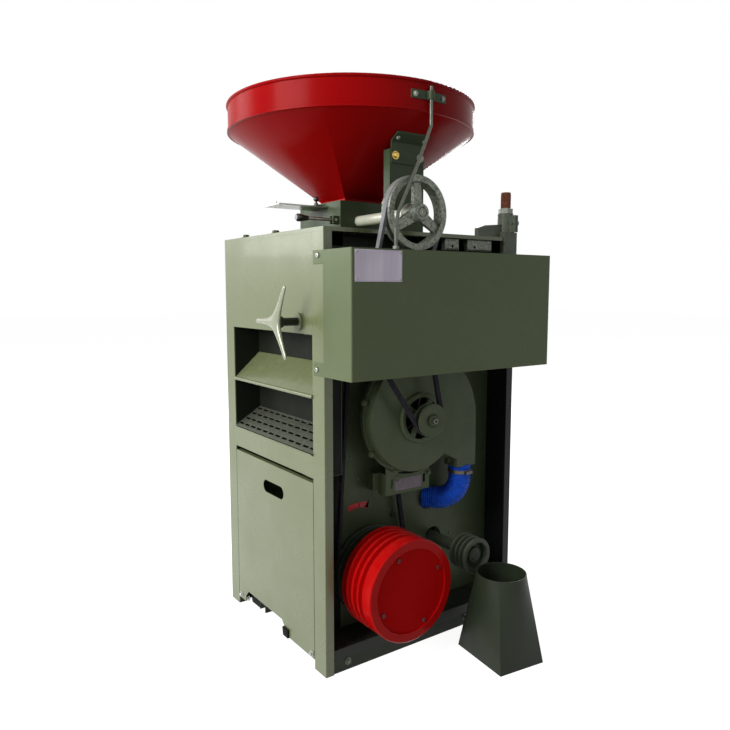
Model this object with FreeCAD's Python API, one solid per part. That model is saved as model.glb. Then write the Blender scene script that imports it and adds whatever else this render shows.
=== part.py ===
"""Rice huller: an enamelled cabinet with a roll husker, a polisher and a bran fan.

Axes, in millimetres: the origin is the centre of the cabinet's footprint on the floor,
X runs along the drive face, the drive face looks along -Y, the outlet face looks along -X
and Z is up. Every sub-part is written to parts/NAME.step.
"""
import FreeCAD, Part

import math
import os

V = FreeCAD.Vector

# Cabinet
CABINET_X = 760.0
CABINET_Y = 656.0
CABINET_Z = 1305.0
SHEET = 2.0
POST_T = 4.0
POST_SIDE = 63.0
POST_FRONT = 28.0
TOP_T = 3.0
TOP_SKIRT = 12.0
RAIL_H = 38.0
RAIL_FLANGE = 45.0
RAIL_T = 4.0
ANCHOR_R = 7.0
ANCHOR_X = 300.0
ANCHOR_INSET = 24.0

X_OUT = -CABINET_X / 2
X_END = CABINET_X / 2
Y_DRIVE = -CABINET_Y / 2
Y_BACK = CABINET_Y / 2
POST_TOP = CABINET_Z - TOP_SKIRT
Y_PANEL_0 = Y_DRIVE + POST_SIDE
Y_PANEL_1 = Y_BACK - POST_SIDE

# Clearances
GAP = 0.3
RUN = 0.05

# Lengthwise rails that carry the polisher and the motor
BED_RAIL_W = 44.0
BED_RAIL_H = 30.0
BED_FRONT_Y = -92.0
BED_BACK_Y = 152.0
BED_X0 = -344.0

# Bay behind the belts
BAY_Y = -213.0
BAY_STEP_X = -283.0
SKIRT_TOP = 72.0

# Outlet face: heights of the openings and sheets
DOOR_Z0 = 28.0
DOOR_Z1 = 571.0
DOOR_RETURN = 24.0
DOOR_SIDE_GAP = 2.5
DOOR_PIN_R = 5.0
DOOR_PIN_X = X_OUT + 14.0
DOOR_PIN_Z = 40.0
STRIP_Z0 = 586.0
STRIP_Z1 = 653.0
TRAY_Z = 825.0
TRAY_RISE = 86.0
TRAY_ROLL_R = 6.0
UPPER_Z = 1005.0
PANEL_FOLD = 20.0
CHAMBER_X = -285.0
SCREEN_RISE = 58.0
SCREEN_COLS = 4
SCREEN_ROWS = 12

# Belt guard on the drive face
GUARD_Z0 = 890.0
GUARD_Z1 = 1241.0
GUARD_DEPTH = 139.0
GUARD_OVERHANG = 12.0
GUARD_LIP = 18.0
GUARD_TAB = 53.0
GUARD_TAB_H = 38.0
GUARD_BEND_R = 4.0

# Main shaft, with the red pulley in front and the roll drive pulley behind it
MAIN_X = -148.0
MAIN_Z = 247.0
MAIN_SHAFT_R = 20.0
MAIN_PULLEY_R = 155.0
MAIN_PULLEY_Y0 = -440.0
MAIN_PULLEY_Y1 = -294.0
MAIN_GROOVES = 4
MAIN_GROOVE_PITCH = 27.5
COVER_R = 128.0
COVER_T = 3.0
COVER_DEPTH = 6.0
COVER_SCREW_R = 6.0
COVER_SCREW_RING = 114.0
REAR_PULLEY_R = 140.0
ROLL_BELT_Y = -240.0

# Polisher on the main shaft
POLISHER_R = 92.0
POLISHER_WALL = 8.0
POLISHER_FOOT_T = 30.0
POLISHING_ROLLER_R = 62.0
NOSE_R = 46.0
NOSE_Y0 = -222.0

# Motor
MOTOR_X = 125.0
MOTOR_Z = 288.0
MOTOR_R = 100.0
MOTOR_Y0 = -140.0
MOTOR_Y1 = 150.0
MOTOR_SHAFT_HEIGHT = 132.0
MOTOR_SHAFT_R = 19.0
MOTOR_FINS = 24
MOTOR_PULLEY_R = 57.0
MOTOR_PULLEY_Y0 = -430.0
MOTOR_PULLEY_Y1 = -362.0
MOTOR_GROOVES = 3
MOTOR_GROOVE_PITCH = 19.0

# Husker: two rubber rolls geared together behind the housing
ROLL_R = 80.0
ROLL_GAP = 1.0
FAST_X = -190.0
ROLL_Z = 1100.0
ROLL_LENGTH = 254.0
ROLL_SHAFT_R = 17.0
GEAR_MODULE = 7.0
FAST_TEETH = 20
SLOW_TEETH = 26
GEAR_W = 26.0
HUSKER_X0 = -300.0
HUSKER_X1 = 86.0
HUSKER_Y = 205.0
HUSKER_Z0 = 1010.0
HUSKER_Z1 = 1240.0
HUSKER_WALL = 6.0
SLOW_X = FAST_X + 2 * ROLL_R + ROLL_GAP

# Stepped pulley on the fast roll's shaft, and the fan's and feeder's pulleys
ROLL_PULLEY_R = 130.0
FAN_BELT_Y = -372.0
FEED_BELT_Y = -397.0
ROLL_FEED_R = 90.0
ROLL_DRIVE_R = 45.0
FAN_X = -30.0
FAN_Z = 737.0
FAN_PULLEY_R = 52.0
FEED_X = -116.0
FEED_Z = 1349.0
FEED_PULLEY_R = 105.0
FEED_RIM_W = 36.0
FEED_SHAFT_R = 12.0
FEED_ROLLER_R = 28.0
SLEEVE_R = 16.5

# V-belts
BELT_TOP = 16.0
BELT_BOTTOM = 10.0
BELT_DEPTH = 11.0
BELT_PROUD = 1.0

# Fan: four-centre scroll, its radii grow by FAN_STEP each quarter turn
FAN_FRONT_Y = -325.0
FAN_SPLIT_Y = -290.0
FAN_BACK_Y = -262.0
FAN_WALL = 3.0
FAN_R1 = 173.5
FAN_STEP = 26.0
FAN_C1_X = -9.5
FAN_C1_Z = 5.5
FAN_FLANGE = 11.0
FAN_INLET_R = 79.0
FAN_DUCT_BOTTOM = 553.0
FAN_DUCT_W = 80.0
FAN_SHAFT_R = 12.0
IMPELLER_R = 138.0
IMPELLER_BLADES = 8

# Hose from the fan's duct to the bay panel
HOSE_R = 37.5
HOSE_WALL = 3.5
HOSE_BEND = 60.0
HOSE_END_X = 100.0
HOSE_END_Z = 430.0

# Feed box and hopper
HOPPER_X = -62.0
HOPPER_Y = 6.0
BOX_HALF = 125.0
BOX_WALL = 4.0
BOX_H = 105.0
BOX_TOP = CABINET_Z + BOX_H
SPOUT_HALF = 74.0
SPOUT_H = 14.0
HOPPER_R = 405.0
HOPPER_H = 310.0
HOPPER_RIM = BOX_TOP + HOPPER_H
HOPPER_BAND = 84.0
HOPPER_T = 2.0
BEAD_R = 5.0

# Gate slide, its lock and the gate lever
GATE_Y0 = -45.0
GATE_Y1 = 57.0
GATE_Z = 1393.0
GATE_T = 4.0
GATE_X0 = HOPPER_X - BOX_HALF - 175.0
GATE_X1 = -134.0
LOCK_X = HOPPER_X - BOX_HALF - 16.0
LEVER_Y = HOPPER_Y - BOX_HALF + 19.0
LEVER_Z = 1350.0

# Star handle on the outlet face
STAR_Y = -190.0
STAR_DROP = 60.0
STAR_Z = ROLL_Z - STAR_DROP
STAR_HUB_X = -436.0
STAR_ARM = 110.0
STAR_SHAFT_R = 12.0

# Threaded rod and clamp at the drive face's far corner
ROD_X = 355.0
ROD_Y = -303.0
ROD_R = 16.0
ROD_Z0 = 1180.0
ROD_Z1 = 1454.0
CLAMP_Z0 = 1322.0
CLAMP_Z1 = 1385.0

# Hopper stay and support
CHANNEL_X0 = -126.0
CHANNEL_X1 = 4.0
CHANNEL_Y = -292.0
CHANNEL_DEPTH = 30.0
CONE_Z0 = BOX_TOP + SPOUT_H
CONE_RISE = (HOPPER_RIM - HOPPER_BAND - CONE_Z0) / (HOPPER_R - 3 - SPOUT_HALF)
CHANNEL_REACH = HOPPER_Y - CHANNEL_Y - CHANNEL_DEPTH - SPOUT_HALF
CHANNEL_TOP = CONE_Z0 + CONE_RISE * CHANNEL_REACH - 4.4
STRAP_T = 4.0
STAY_R = 5.0
STAY_LOW_X = -231.0
STAY_LOW_Y = -458.0

# Loose outlet spout that stands beside the drive face
SPOUT_X = 138.0
SPOUT_Y = -523.0
SPOUT_TURN = -7.0
SPOUT_BASE_X = 165.0
SPOUT_BASE_Y = 210.0
SPOUT_TOP_R = 76.0
SPOUT_Z1 = 265.0
SPOUT_SHEET = 2.0


def block(x0, x1, y0, y1, z0, z1):
    """A box between two corners."""
    return Part.makeBox(x1 - x0, y1 - y0, z1 - z0, V(x0, y0, z0))


def bar_x(y, z, r, x0, x1):
    """A round bar along X."""
    return Part.makeCylinder(r, x1 - x0, V(x0, y, z), V(1, 0, 0))


def bar_y(x, z, r, y0, y1):
    """A round bar along Y."""
    return Part.makeCylinder(r, y1 - y0, V(x, y0, z), V(0, 1, 0))


def bar_z(x, y, r, z0, z1):
    """A round bar along Z."""
    return Part.makeCylinder(r, z1 - z0, V(x, y, z0), V(0, 0, 1))


def fuse(shapes):
    """One shape from several that touch or overlap."""
    shapes = list(shapes)
    return shapes[0].multiFuse(shapes[1:]).removeSplitter()


def prism(points, along):
    """A polygon through 3-D points, extruded."""
    return Part.Face(Part.makePolygon(points + points[:1])).extrude(along)


def turned_y(x, z, profile):
    """A body of revolution about a line along Y: profile lists (radius, y)."""
    points = [V(x + r, y, z) for r, y in profile]
    face = Part.Face(Part.makePolygon(points + points[:1]))
    return face.revolve(V(x, 0, z), V(0, 1, 0), 360)


def hexagon(centre, axis, across, height):
    """A hexagonal bolt head or nut that stands along axis."""
    r = across / math.sqrt(3)
    turn = FreeCAD.Rotation(V(0, 0, 1), axis)
    points = [centre + turn.multVec(V(r * math.cos(a), r * math.sin(a), 0))
              for a in (math.radians(60 * k) for k in range(6))]
    return prism(points, axis * height)


def groove_points(r, y_mid, top, bottom, depth):
    """The four corners of one V-groove in a pulley's rim, front to back."""
    return [(r, y_mid - top / 2), (r - depth, y_mid - bottom / 2),
            (r - depth, y_mid + bottom / 2), (r, y_mid + top / 2)]


def grooved_rim(x, z, r, y0, y1, middles, r_in, top=BELT_TOP + 0.7, bottom=BELT_BOTTOM + 0.7,
                depth=BELT_DEPTH + 1.0):
    """A pulley's rim with V-grooves at the given middles."""
    profile = [(r_in, y0), (r, y0)]
    for middle in middles:
        profile += groove_points(r, middle, top, bottom, depth)
    return turned_y(x, z, profile + [(r, y1), (r_in, y1)])


def angle(n):
    """Angle of a direction about +Y, from +Z towards +X."""
    return math.degrees(math.atan2(n.x, n.z))


def vee_belt(y, c1, r1, c2, r2):
    """An open V-belt round two pulleys whose rims have the radii r1 and r2."""
    centres = (V(c1[0], y, c1[1]), V(c2[0], y, c2[1]))
    line = centres[1] - centres[0]
    u = V(line).normalize()
    across = V(-u.z, 0, u.x)
    sine = (r1 - r2) / line.Length
    cosine = math.sqrt(1 - sine * sine)
    normals = [u * sine + across * (cosine * side) for side in (1, -1)]
    low = -BELT_DEPTH + 0.5

    def section(centre, r, n):
        rows = ((r + low, BELT_BOTTOM / 2), (r + BELT_PROUD, BELT_TOP / 2))
        corners = [centre + n * rows[0][0] + V(0, rows[0][1], 0),
                   centre + n * rows[1][0] + V(0, rows[1][1], 0),
                   centre + n * rows[1][0] - V(0, rows[1][1], 0),
                   centre + n * rows[0][0] - V(0, rows[0][1], 0)]
        return Part.Face(Part.makePolygon(corners + corners[:1]))

    pieces = []
    for n in normals:
        start = section(centres[0], r1, n)
        pieces.append(start.extrude(centres[1] + n * r2 - centres[0] - n * r1))
    for centre, r, away in ((centres[0], r1, u * -1), (centres[1], r2, u)):
        half = (angle(away) - angle(normals[0]) + 180) % 360 - 180
        pieces.append(section(centre, r, normals[0]).revolve(centre, V(0, 1, 0), 2 * half))
    return fuse(pieces)


def gear(x, z, teeth, y0, y1, phase):
    """A spur gear with involute teeth; phase is the angle of one tooth from +X."""
    pitch_r = GEAR_MODULE * teeth / 2
    base_r = pitch_r * math.cos(math.radians(20))
    root_r = pitch_r - 1.25 * GEAR_MODULE
    tip_r = pitch_r + 0.95 * GEAR_MODULE
    half = math.pi / (2 * teeth) - 0.25 / pitch_r
    involute = math.tan(math.radians(20)) - math.radians(20)
    flank = [(root_r, None)]
    for k in range(4):
        r = max(base_r, root_r) + (tip_r - max(base_r, root_r)) * k / 3
        flank.append((r, math.acos(min(1.0, base_r / r))))
    points = []
    for tooth in range(teeth):
        middle = math.radians(phase) + 2 * math.pi * tooth / teeth
        side = []
        for r, a in flank:
            spread = half + involute - (math.tan(a) - a if a else 0.0)
            side.append((r, spread))
        for r, spread in side:
            points.append((r, middle - spread))
        for r, spread in reversed(side):
            points.append((r, middle + spread))
    corners = [V(x + r * math.cos(a), y0, z + r * math.sin(a)) for r, a in points]
    return prism(corners, V(0, y1 - y0, 0))


def post(sx, sy):
    """A corner post of unequal angle; sx and sy pick the corner."""
    x, y = sx * CABINET_X / 2, sy * CABINET_Y / 2
    outline = [(x, y), (x - sx * POST_FRONT, y), (x - sx * POST_FRONT, y - sy * POST_T),
               (x - sx * POST_T, y - sy * POST_T), (x - sx * POST_T, y - sy * POST_SIDE),
               (x, y - sy * POST_SIDE)]
    body = prism([V(a, b, 0) for a, b in outline], V(0, 0, POST_TOP))
    corner = [e for e in body.Edges if abs(e.Length - POST_TOP) < 0.01
              and abs(e.Vertexes[0].X - x) < 0.01 and abs(e.Vertexes[0].Y - y) < 0.01]
    return body.makeFillet(POST_T / 2, corner)


def base_frame():
    """Welded base: angle rails between the posts, bed rails, motor stool and hinge lugs."""
    xi, yi = X_END - POST_T, Y_BACK - POST_T
    parts = []
    for s in (-1, 1):
        lo, hi = sorted((s * yi, s * (yi - RAIL_T)))
        parts.append(block(-xi, xi, lo, hi, 0, RAIL_H))
        lo, hi = sorted((s * yi, s * (yi - RAIL_FLANGE)))
        parts.append(block(-xi, xi, lo, hi, 0, RAIL_T))
    parts.append(block(xi - RAIL_T, xi, -yi, yi, 0, RAIL_H))
    parts.append(block(xi - RAIL_FLANGE, xi, -yi, yi, 0, RAIL_T))
    parts.append(block(-xi, -xi + RAIL_T, -yi, yi, 0, DOOR_Z0 - 7))
    parts.append(block(-xi, -xi + RAIL_FLANGE, -yi, yi, 0, RAIL_T))
    for y in (BED_FRONT_Y, BED_BACK_Y):
        y0, y1 = y - BED_RAIL_W / 2, y + BED_RAIL_W / 2
        channel = block(BED_X0, xi - RAIL_T, y0, y1, RAIL_T, RAIL_T + BED_RAIL_H)
        parts.append(channel.cut(block(BED_X0, xi - RAIL_T, y0 + RAIL_T, y1 - RAIL_T,
                                       0, BED_RAIL_H)))
    stool_top = MOTOR_Z - MOTOR_SHAFT_HEIGHT
    bed_top = RAIL_T + BED_RAIL_H
    for x in (MOTOR_X - 88, MOTOR_X + 88):
        parts.append(block(x - 22, x + 22, BED_FRONT_Y - BED_RAIL_W / 2, BED_BACK_Y + BED_RAIL_W / 2,
                           stool_top - 6, stool_top))
        for y in (BED_FRONT_Y, BED_BACK_Y):
            parts.append(block(x - 22, x + 22, y - 3, y + 3, bed_top, stool_top - 6))
            parts.append(block(x - 3, x + 3, y - 18, y + 18, bed_top, stool_top - 6))
    lug_y = Y_PANEL_1 - DOOR_SIDE_GAP
    for s in (-1, 1):
        lo, hi = sorted((s * (lug_y + DOOR_SIDE_GAP), s * (lug_y + DOOR_SIDE_GAP + 8)))
        parts.append(block(-xi, DOOR_PIN_X + 12, lo, hi, 0, DOOR_PIN_Z + 14))
    frame = fuse(parts)
    frame = frame.cut(bar_y(DOOR_PIN_X, DOOR_PIN_Z, DOOR_PIN_R + RUN, -yi, yi))
    for sx in (-1, 1):
        for sy in (-1, 1):
            frame = frame.cut(bar_z(sx * ANCHOR_X, sy * (Y_BACK - POST_T - ANCHOR_INSET),
                                    ANCHOR_R, -1, RAIL_T + 1))
    return frame


def top_frame():
    """Flat bars and angles that carry the top plate between the posts."""
    xi, yi = X_END - POST_T, Y_BACK - POST_T
    z1 = CABINET_Z - TOP_T
    parts = [block(-xi, xi, -yi, -yi + 30, z1 - 6, z1), block(-xi, xi, yi - 30, yi, z1 - 6, z1)]
    parts.append(block(-xi, xi, yi - RAIL_T, yi, z1 - 40, z1))
    for s in (-1, 1):
        lo, hi = sorted((s * xi, s * (xi - RAIL_T)))
        parts.append(block(lo, hi, -yi + 30, yi, z1 - 40, z1))
        lo, hi = sorted((s * xi, s * (xi - 30)))
        parts.append(block(lo, hi, -yi, yi, z1 - 6, z1))
    return fuse(parts).cut(bar_z(ROD_X, ROD_Y, ROD_R + 3, z1 - 10, z1 + 1))


def top_plate():
    """Pressed top with turned-down edges and the throat hole under the feed box."""
    z1 = CABINET_Z
    pan = block(X_OUT, X_END, Y_DRIVE, Y_BACK, POST_TOP, z1)
    edges = [e for e in pan.Edges if abs(e.Length - TOP_SKIRT) < 0.01]
    pan = pan.makeFillet(2.0, edges)
    pan = pan.cut(block(X_OUT + TOP_T, X_END - TOP_T, Y_DRIVE + TOP_T, Y_BACK - TOP_T,
                        POST_TOP, z1 - TOP_T))
    inner = BOX_HALF - BOX_WALL - 25
    pan = pan.cut(block(HOPPER_X - inner, HOPPER_X + inner, HOPPER_Y - inner, HOPPER_Y + inner,
                        POST_TOP, z1 + 1))
    return pan.cut(bar_z(ROD_X, ROD_Y, ROD_R + 3, POST_TOP, z1 + 1))


def bay_panel():
    """Folded sheet behind the belts, stepped forward round the outlet chamber."""
    xi = X_END - POST_T
    back = BAY_Y
    front = BAY_Y - SHEET
    step_y = Y_PANEL_0
    door_x = X_OUT + DOOR_RETURN + 4
    parts = [block(door_x, xi, front, back, RAIL_H, STRIP_Z0 - 4),
             block(BAY_STEP_X, xi, front, back, STRIP_Z0 - 4, UPPER_Z),
             block(X_OUT + PANEL_FOLD, xi, front, back, UPPER_Z, POST_TOP - 31),
             block(BAY_STEP_X, BAY_STEP_X + SHEET, step_y - SHEET, back, STRIP_Z0 - 4, UPPER_Z),
             block(-xi, BAY_STEP_X + SHEET, step_y - SHEET, step_y, STRIP_Z0 - 4, UPPER_Z),
             block(-xi, BAY_STEP_X + SHEET, step_y - SHEET, back, STRIP_Z0 - 4, STRIP_Z0 - 2),
             block(-xi, BAY_STEP_X + SHEET, step_y - SHEET, back, UPPER_Z - SHEET, UPPER_Z)]
    panel = fuse(parts)
    for x, z, r in ((MAIN_X, MAIN_Z, NOSE_R), (MOTOR_X, MOTOR_Z, MOTOR_SHAFT_R + 16),
                    (FAST_X, ROLL_Z, ROLL_SHAFT_R + 13), (SLOW_X, ROLL_Z, ROLL_SHAFT_R + 13)):
        panel = panel.cut(bar_y(x, z, r, front - 5, back + 5))
    return panel.cut(hose_route(HOSE_R))


def bay_skirt():
    """Black apron over the base rail with two vent slots and a ledge."""
    y0 = Y_DRIVE + POST_T + RAIL_T
    x1 = X_END - POST_SIDE / 2
    apron = block(-x1, x1, y0 - SHEET - 2, y0 - 2, RAIL_H, SKIRT_TOP)
    foot = block(-x1, x1, y0 - RAIL_T, y0 - 2, RAIL_H - 0, RAIL_H + 2)
    ledge = block(-x1, x1, y0 - SHEET - 2, BAY_Y - SHEET, SKIRT_TOP - SHEET, SKIRT_TOP)
    skirt = fuse([apron, foot, ledge])
    for x in (-20.0, 190.0):
        skirt = skirt.cut(block(x, x + 46, y0 - 10, y0 + 10, RAIL_H + 12, RAIL_H + 20))
    return skirt


def side_panel(x0, x1, y0, y1, z0, z1):
    """A plain cover sheet."""
    return block(x0, x1, y0, y1, z0, z1)


def right_panel():
    """Cover sheet on the far end, between the posts."""
    return side_panel(X_END - SHEET, X_END, Y_PANEL_0, Y_PANEL_1, RAIL_H, POST_TOP)


def rear_panel():
    """Cover sheet on the back, between the posts."""
    x1 = X_END - POST_FRONT
    return side_panel(-x1, x1, Y_BACK - SHEET, Y_BACK, RAIL_H, POST_TOP)


def outlet_upper_panel():
    """Upper sheet of the outlet face with a folded lower edge and the handle's boss."""
    x0 = X_OUT
    sheet = block(x0, x0 + SHEET, Y_PANEL_0, Y_PANEL_1, UPPER_Z, POST_TOP)
    fold = block(x0, x0 + PANEL_FOLD, Y_PANEL_0, Y_PANEL_1, UPPER_Z, UPPER_Z + SHEET)
    boss = bar_x(STAR_Y, STAR_Z, 26.0, x0 - 8, x0)
    panel = fuse([sheet, fold, boss])
    return panel.cut(bar_x(STAR_Y, STAR_Z, STAR_SHAFT_R + RUN, x0 - 10, x0 + 10))


def sloped_sheet(z_front, rise, x1, t):
    """A sheet across the outlet chamber that rises from the outlet face inwards."""
    corners = [V(X_OUT, Y_PANEL_0, z_front), V(x1, Y_PANEL_0, z_front + rise),
               V(x1, Y_PANEL_0, z_front + rise + t), V(X_OUT, Y_PANEL_0, z_front + t)]
    return prism(corners, V(0, Y_PANEL_1 - Y_PANEL_0, 0))


def outlet_tray():
    """Upper discharge tray: sloping sheet with a rolled front edge."""
    sheet = sloped_sheet(TRAY_Z, TRAY_RISE, CHAMBER_X, SHEET)
    roll = bar_y(X_OUT, TRAY_Z + 1, TRAY_ROLL_R, Y_PANEL_0, Y_PANEL_1)
    return fuse([sheet, roll])


def outlet_liner():
    """Back and far side of the outlet chamber."""
    back = block(CHAMBER_X, CHAMBER_X + SHEET, Y_PANEL_0, Y_PANEL_1 + SHEET, STRIP_Z0, UPPER_Z - SHEET)
    side = block(X_OUT + POST_T, CHAMBER_X + SHEET, Y_PANEL_1, Y_PANEL_1 + SHEET, STRIP_Z0, UPPER_Z)
    floor = block(X_OUT + POST_T, CHAMBER_X + SHEET, Y_PANEL_0, Y_PANEL_1 + SHEET,
                  STRIP_Z0, STRIP_Z0 + SHEET)
    return fuse([back, side, floor])


def rice_screen():
    """Slotted sieve in the lower opening, with slots across its slope."""
    z0 = STRIP_Z1 + 4
    sieve = sloped_sheet(z0, SCREEN_RISE, CHAMBER_X, SHEET)
    run = CHAMBER_X - X_OUT
    width = (Y_PANEL_1 - Y_PANEL_0) / SCREEN_ROWS
    cutters = []
    for col in range(SCREEN_COLS):
        x = X_OUT + run * (col + 0.6) / SCREEN_COLS
        for row in range(SCREEN_ROWS):
            y = Y_PANEL_0 + width * (row + 0.5)
            cutters.append(block(x - 4, x + 4, y - width * 0.36, y + width * 0.36,
                                 z0 - 5, z0 + SCREEN_RISE + 10))
    return sieve.cut(Part.makeCompound(cutters))


def outlet_strip():
    """Sheet between the lower opening and the door, with a turned-out lip."""
    sheet = block(X_OUT, X_OUT + SHEET, Y_PANEL_0, Y_PANEL_1, STRIP_Z0, STRIP_Z1)
    lip = prism([V(X_OUT + SHEET, Y_PANEL_0, STRIP_Z1), V(X_OUT - 7, Y_PANEL_0, STRIP_Z1 + 5),
                 V(X_OUT - 7, Y_PANEL_0, STRIP_Z1 + 3), V(X_OUT + SHEET, Y_PANEL_0, STRIP_Z1 - 3)],
                V(0, Y_PANEL_1 - Y_PANEL_0, 0))
    return fuse([sheet, lip])


def lower_door():
    """Drop-down door: folded sheet, hand slot, notched foot and two hinge pins."""
    half = Y_PANEL_1 - DOOR_SIDE_GAP
    sheet = block(X_OUT, X_OUT + SHEET, -half, half, DOOR_Z0, DOOR_Z1)
    parts = [sheet, block(X_OUT, X_OUT + 16, -half, half, DOOR_Z1 - SHEET, DOOR_Z1)]
    for s in (-1, 1):
        lo, hi = sorted((s * half, s * (half - SHEET)))
        parts.append(block(X_OUT, X_OUT + DOOR_RETURN, lo, hi, DOOR_Z0, DOOR_Z1))
        lo, hi = sorted((s * (half - SHEET), s * (half + DOOR_SIDE_GAP + 8)))
        parts.append(bar_y(DOOR_PIN_X, DOOR_PIN_Z, DOOR_PIN_R, lo, hi))
    door = fuse(parts)
    slot = fuse([block(X_OUT - 1, X_OUT + 5, -60, 37, 471, 512),
                 bar_x(-60, 491.5, 20.5, X_OUT - 1, X_OUT + 5),
                 bar_x(37, 491.5, 20.5, X_OUT - 1, X_OUT + 5)])
    y0, y1, z1, c = -80.0, 209.0, 71.0, 22.0
    notch = [(y0, 0), (y0, z1 - c), (y0 + c, z1), (y1 - c, z1), (y1, z1 - c), (y1, 0)]
    foot = prism([V(X_OUT - 1, y, z) for y, z in notch], V(5, 0, 0))
    return door.cut(slot).cut(foot)


def belt_guard():
    """Folded guard over the drive face, open above and below, with tabs on the posts."""
    x0, x1 = X_OUT - SHEET, X_END + GUARD_OVERHANG
    y0 = Y_DRIVE - GUARD_DEPTH
    shell = block(x0, x1, y0, Y_DRIVE, GUARD_Z0, GUARD_Z1)
    bends = [e for e in shell.Edges if abs(e.Length - (GUARD_Z1 - GUARD_Z0)) < 0.01
             and abs(e.Vertexes[0].Y - y0) < 0.01]
    shell = shell.makeFillet(GUARD_BEND_R, bends)
    shell = shell.cut(block(x0 + SHEET, x1 - SHEET, y0 + SHEET, Y_DRIVE, GUARD_Z0, GUARD_Z1))
    parts = [shell]
    for z0 in (GUARD_Z0, GUARD_Z1 - SHEET):
        parts.append(block(x0 + SHEET, x1 - SHEET, y0 + SHEET, y0 + GUARD_LIP, z0, z0 + SHEET))
    for z0 in (GUARD_Z0, GUARD_Z1 - GUARD_TAB_H):
        parts.append(block(x0, x0 + SHEET, Y_DRIVE, Y_DRIVE + GUARD_TAB, z0, z0 + GUARD_TAB_H))
    parts.append(block(X_END - POST_FRONT, x1, Y_DRIVE - SHEET, Y_DRIVE, GUARD_Z0, GUARD_Z1))
    guard = fuse(parts)
    return guard.cut(bar_z(STAY_LOW_X, STAY_LOW_Y, STAY_R, GUARD_Z1 - 10, GUARD_Z1 + 1))


def husker_housing():
    """Cast housing round the rolls with bearing bosses, a throat neck and an open foot."""
    y1 = HUSKER_Y
    w = HUSKER_WALL
    body = block(HUSKER_X0, HUSKER_X1, -y1, y1, HUSKER_Z0, HUSKER_Z1)
    neck_half = BOX_HALF - BOX_WALL - 22
    neck = block(HOPPER_X - neck_half, HOPPER_X + neck_half, HOPPER_Y - neck_half,
                 HOPPER_Y + neck_half, HUSKER_Z1, CABINET_Z - TOP_T)
    bosses = [bar_y(x, ROLL_Z, 34.0, -y1 - 7, y1 + 7) for x in (FAST_X, SLOW_X)]
    star_boss = bar_x(STAR_Y, STAR_Z, 16.0, HUSKER_X0 - 14, HUSKER_X0)
    body = fuse([body, neck, star_boss] + bosses)
    inside = block(HUSKER_X0 + w, HUSKER_X1 - w, -y1 + w, y1 - w, HUSKER_Z0 - 1, HUSKER_Z1 - w)
    hole = neck_half - w
    throat = block(HOPPER_X - hole, HOPPER_X + hole, HOPPER_Y - hole, HOPPER_Y + hole,
                   HUSKER_Z1 - w - 1, CABINET_Z)
    body = body.cut(inside).cut(throat)
    for x in (FAST_X, SLOW_X):
        body = body.cut(bar_y(x, ROLL_Z, ROLL_SHAFT_R + RUN, -y1 - 20, y1 + 20))
    return body.cut(bar_x(STAR_Y, STAR_Z, STAR_SHAFT_R + RUN, HUSKER_X0 - 20, HUSKER_X0 - 2))


def roll(x, teeth, phase, y_front):
    """A rubber-covered husking roll with its shaft and rear gear."""
    half = ROLL_LENGTH / 2
    rear = HUSKER_Y + 9 + GEAR_W
    drum = turned_y(x, ROLL_Z, [(ROLL_SHAFT_R - 1, -half), (ROLL_R - 3, -half), (ROLL_R, -half + 3),
                                (ROLL_R, half - 3), (ROLL_R - 3, half), (ROLL_SHAFT_R - 1, half)])
    shaft = bar_y(x, ROLL_Z, ROLL_SHAFT_R, y_front, rear + 6)
    wheel = gear(x, ROLL_Z, teeth, HUSKER_Y + 9, rear, phase)
    hub = bar_y(x, ROLL_Z, ROLL_SHAFT_R + 12, rear, rear + 4)
    return fuse([drum, shaft, wheel, hub])


def roll_pulley():
    """Stepped pulley on the fast roll's shaft, with the fan's groove and the feeder's groove."""
    x, z, bore = FAST_X, ROLL_Z, ROLL_SHAFT_R
    y_step = (FAN_BELT_Y + FEED_BELT_Y) / 2
    fan_rim = grooved_rim(x, z, ROLL_PULLEY_R, y_step, FAN_BELT_Y + 12, [FAN_BELT_Y], 108)
    feed_rim = grooved_rim(x, z, ROLL_FEED_R, FEED_BELT_Y - 12, y_step, [FEED_BELT_Y], 70)
    web = turned_y(x, z, [(20, y_step), (110, y_step), (110, y_step + 8), (20, y_step + 8)])
    hub = turned_y(x, z, [(bore, FEED_BELT_Y - 12), (32, FEED_BELT_Y - 12), (32, FAN_BELT_Y + 16),
                          (bore, FAN_BELT_Y + 16)])
    outer = fuse([fan_rim, feed_rim, web, hub])
    for k in range(5):
        a = math.radians(72 * k + 90)
        outer = outer.cut(bar_y(x + 52 * math.cos(a), z + 52 * math.sin(a), 13, y_step - 30, y_step + 30))
    return outer


def roll_drive_pulley():
    """Small pulley on the fast roll's shaft that the roll belt drives."""
    return grooved_rim(FAST_X, ROLL_Z, ROLL_DRIVE_R, ROLL_BELT_Y - 12, ROLL_BELT_Y + 12,
                       [ROLL_BELT_Y], ROLL_SHAFT_R)


def main_shaft():
    """Stepped main shaft, keyed to both pulleys and the polishing roller."""
    end = BED_BACK_Y + POLISHER_FOOT_T
    return turned_y(MAIN_X, MAIN_Z, [(0, MAIN_PULLEY_Y0 + 16), (MAIN_SHAFT_R - 2, MAIN_PULLEY_Y0 + 16),
                                     (MAIN_SHAFT_R, MAIN_PULLEY_Y0 + 18), (MAIN_SHAFT_R, end),
                                     (MAIN_SHAFT_R - 2, end + 2), (0, end + 2)])


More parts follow.
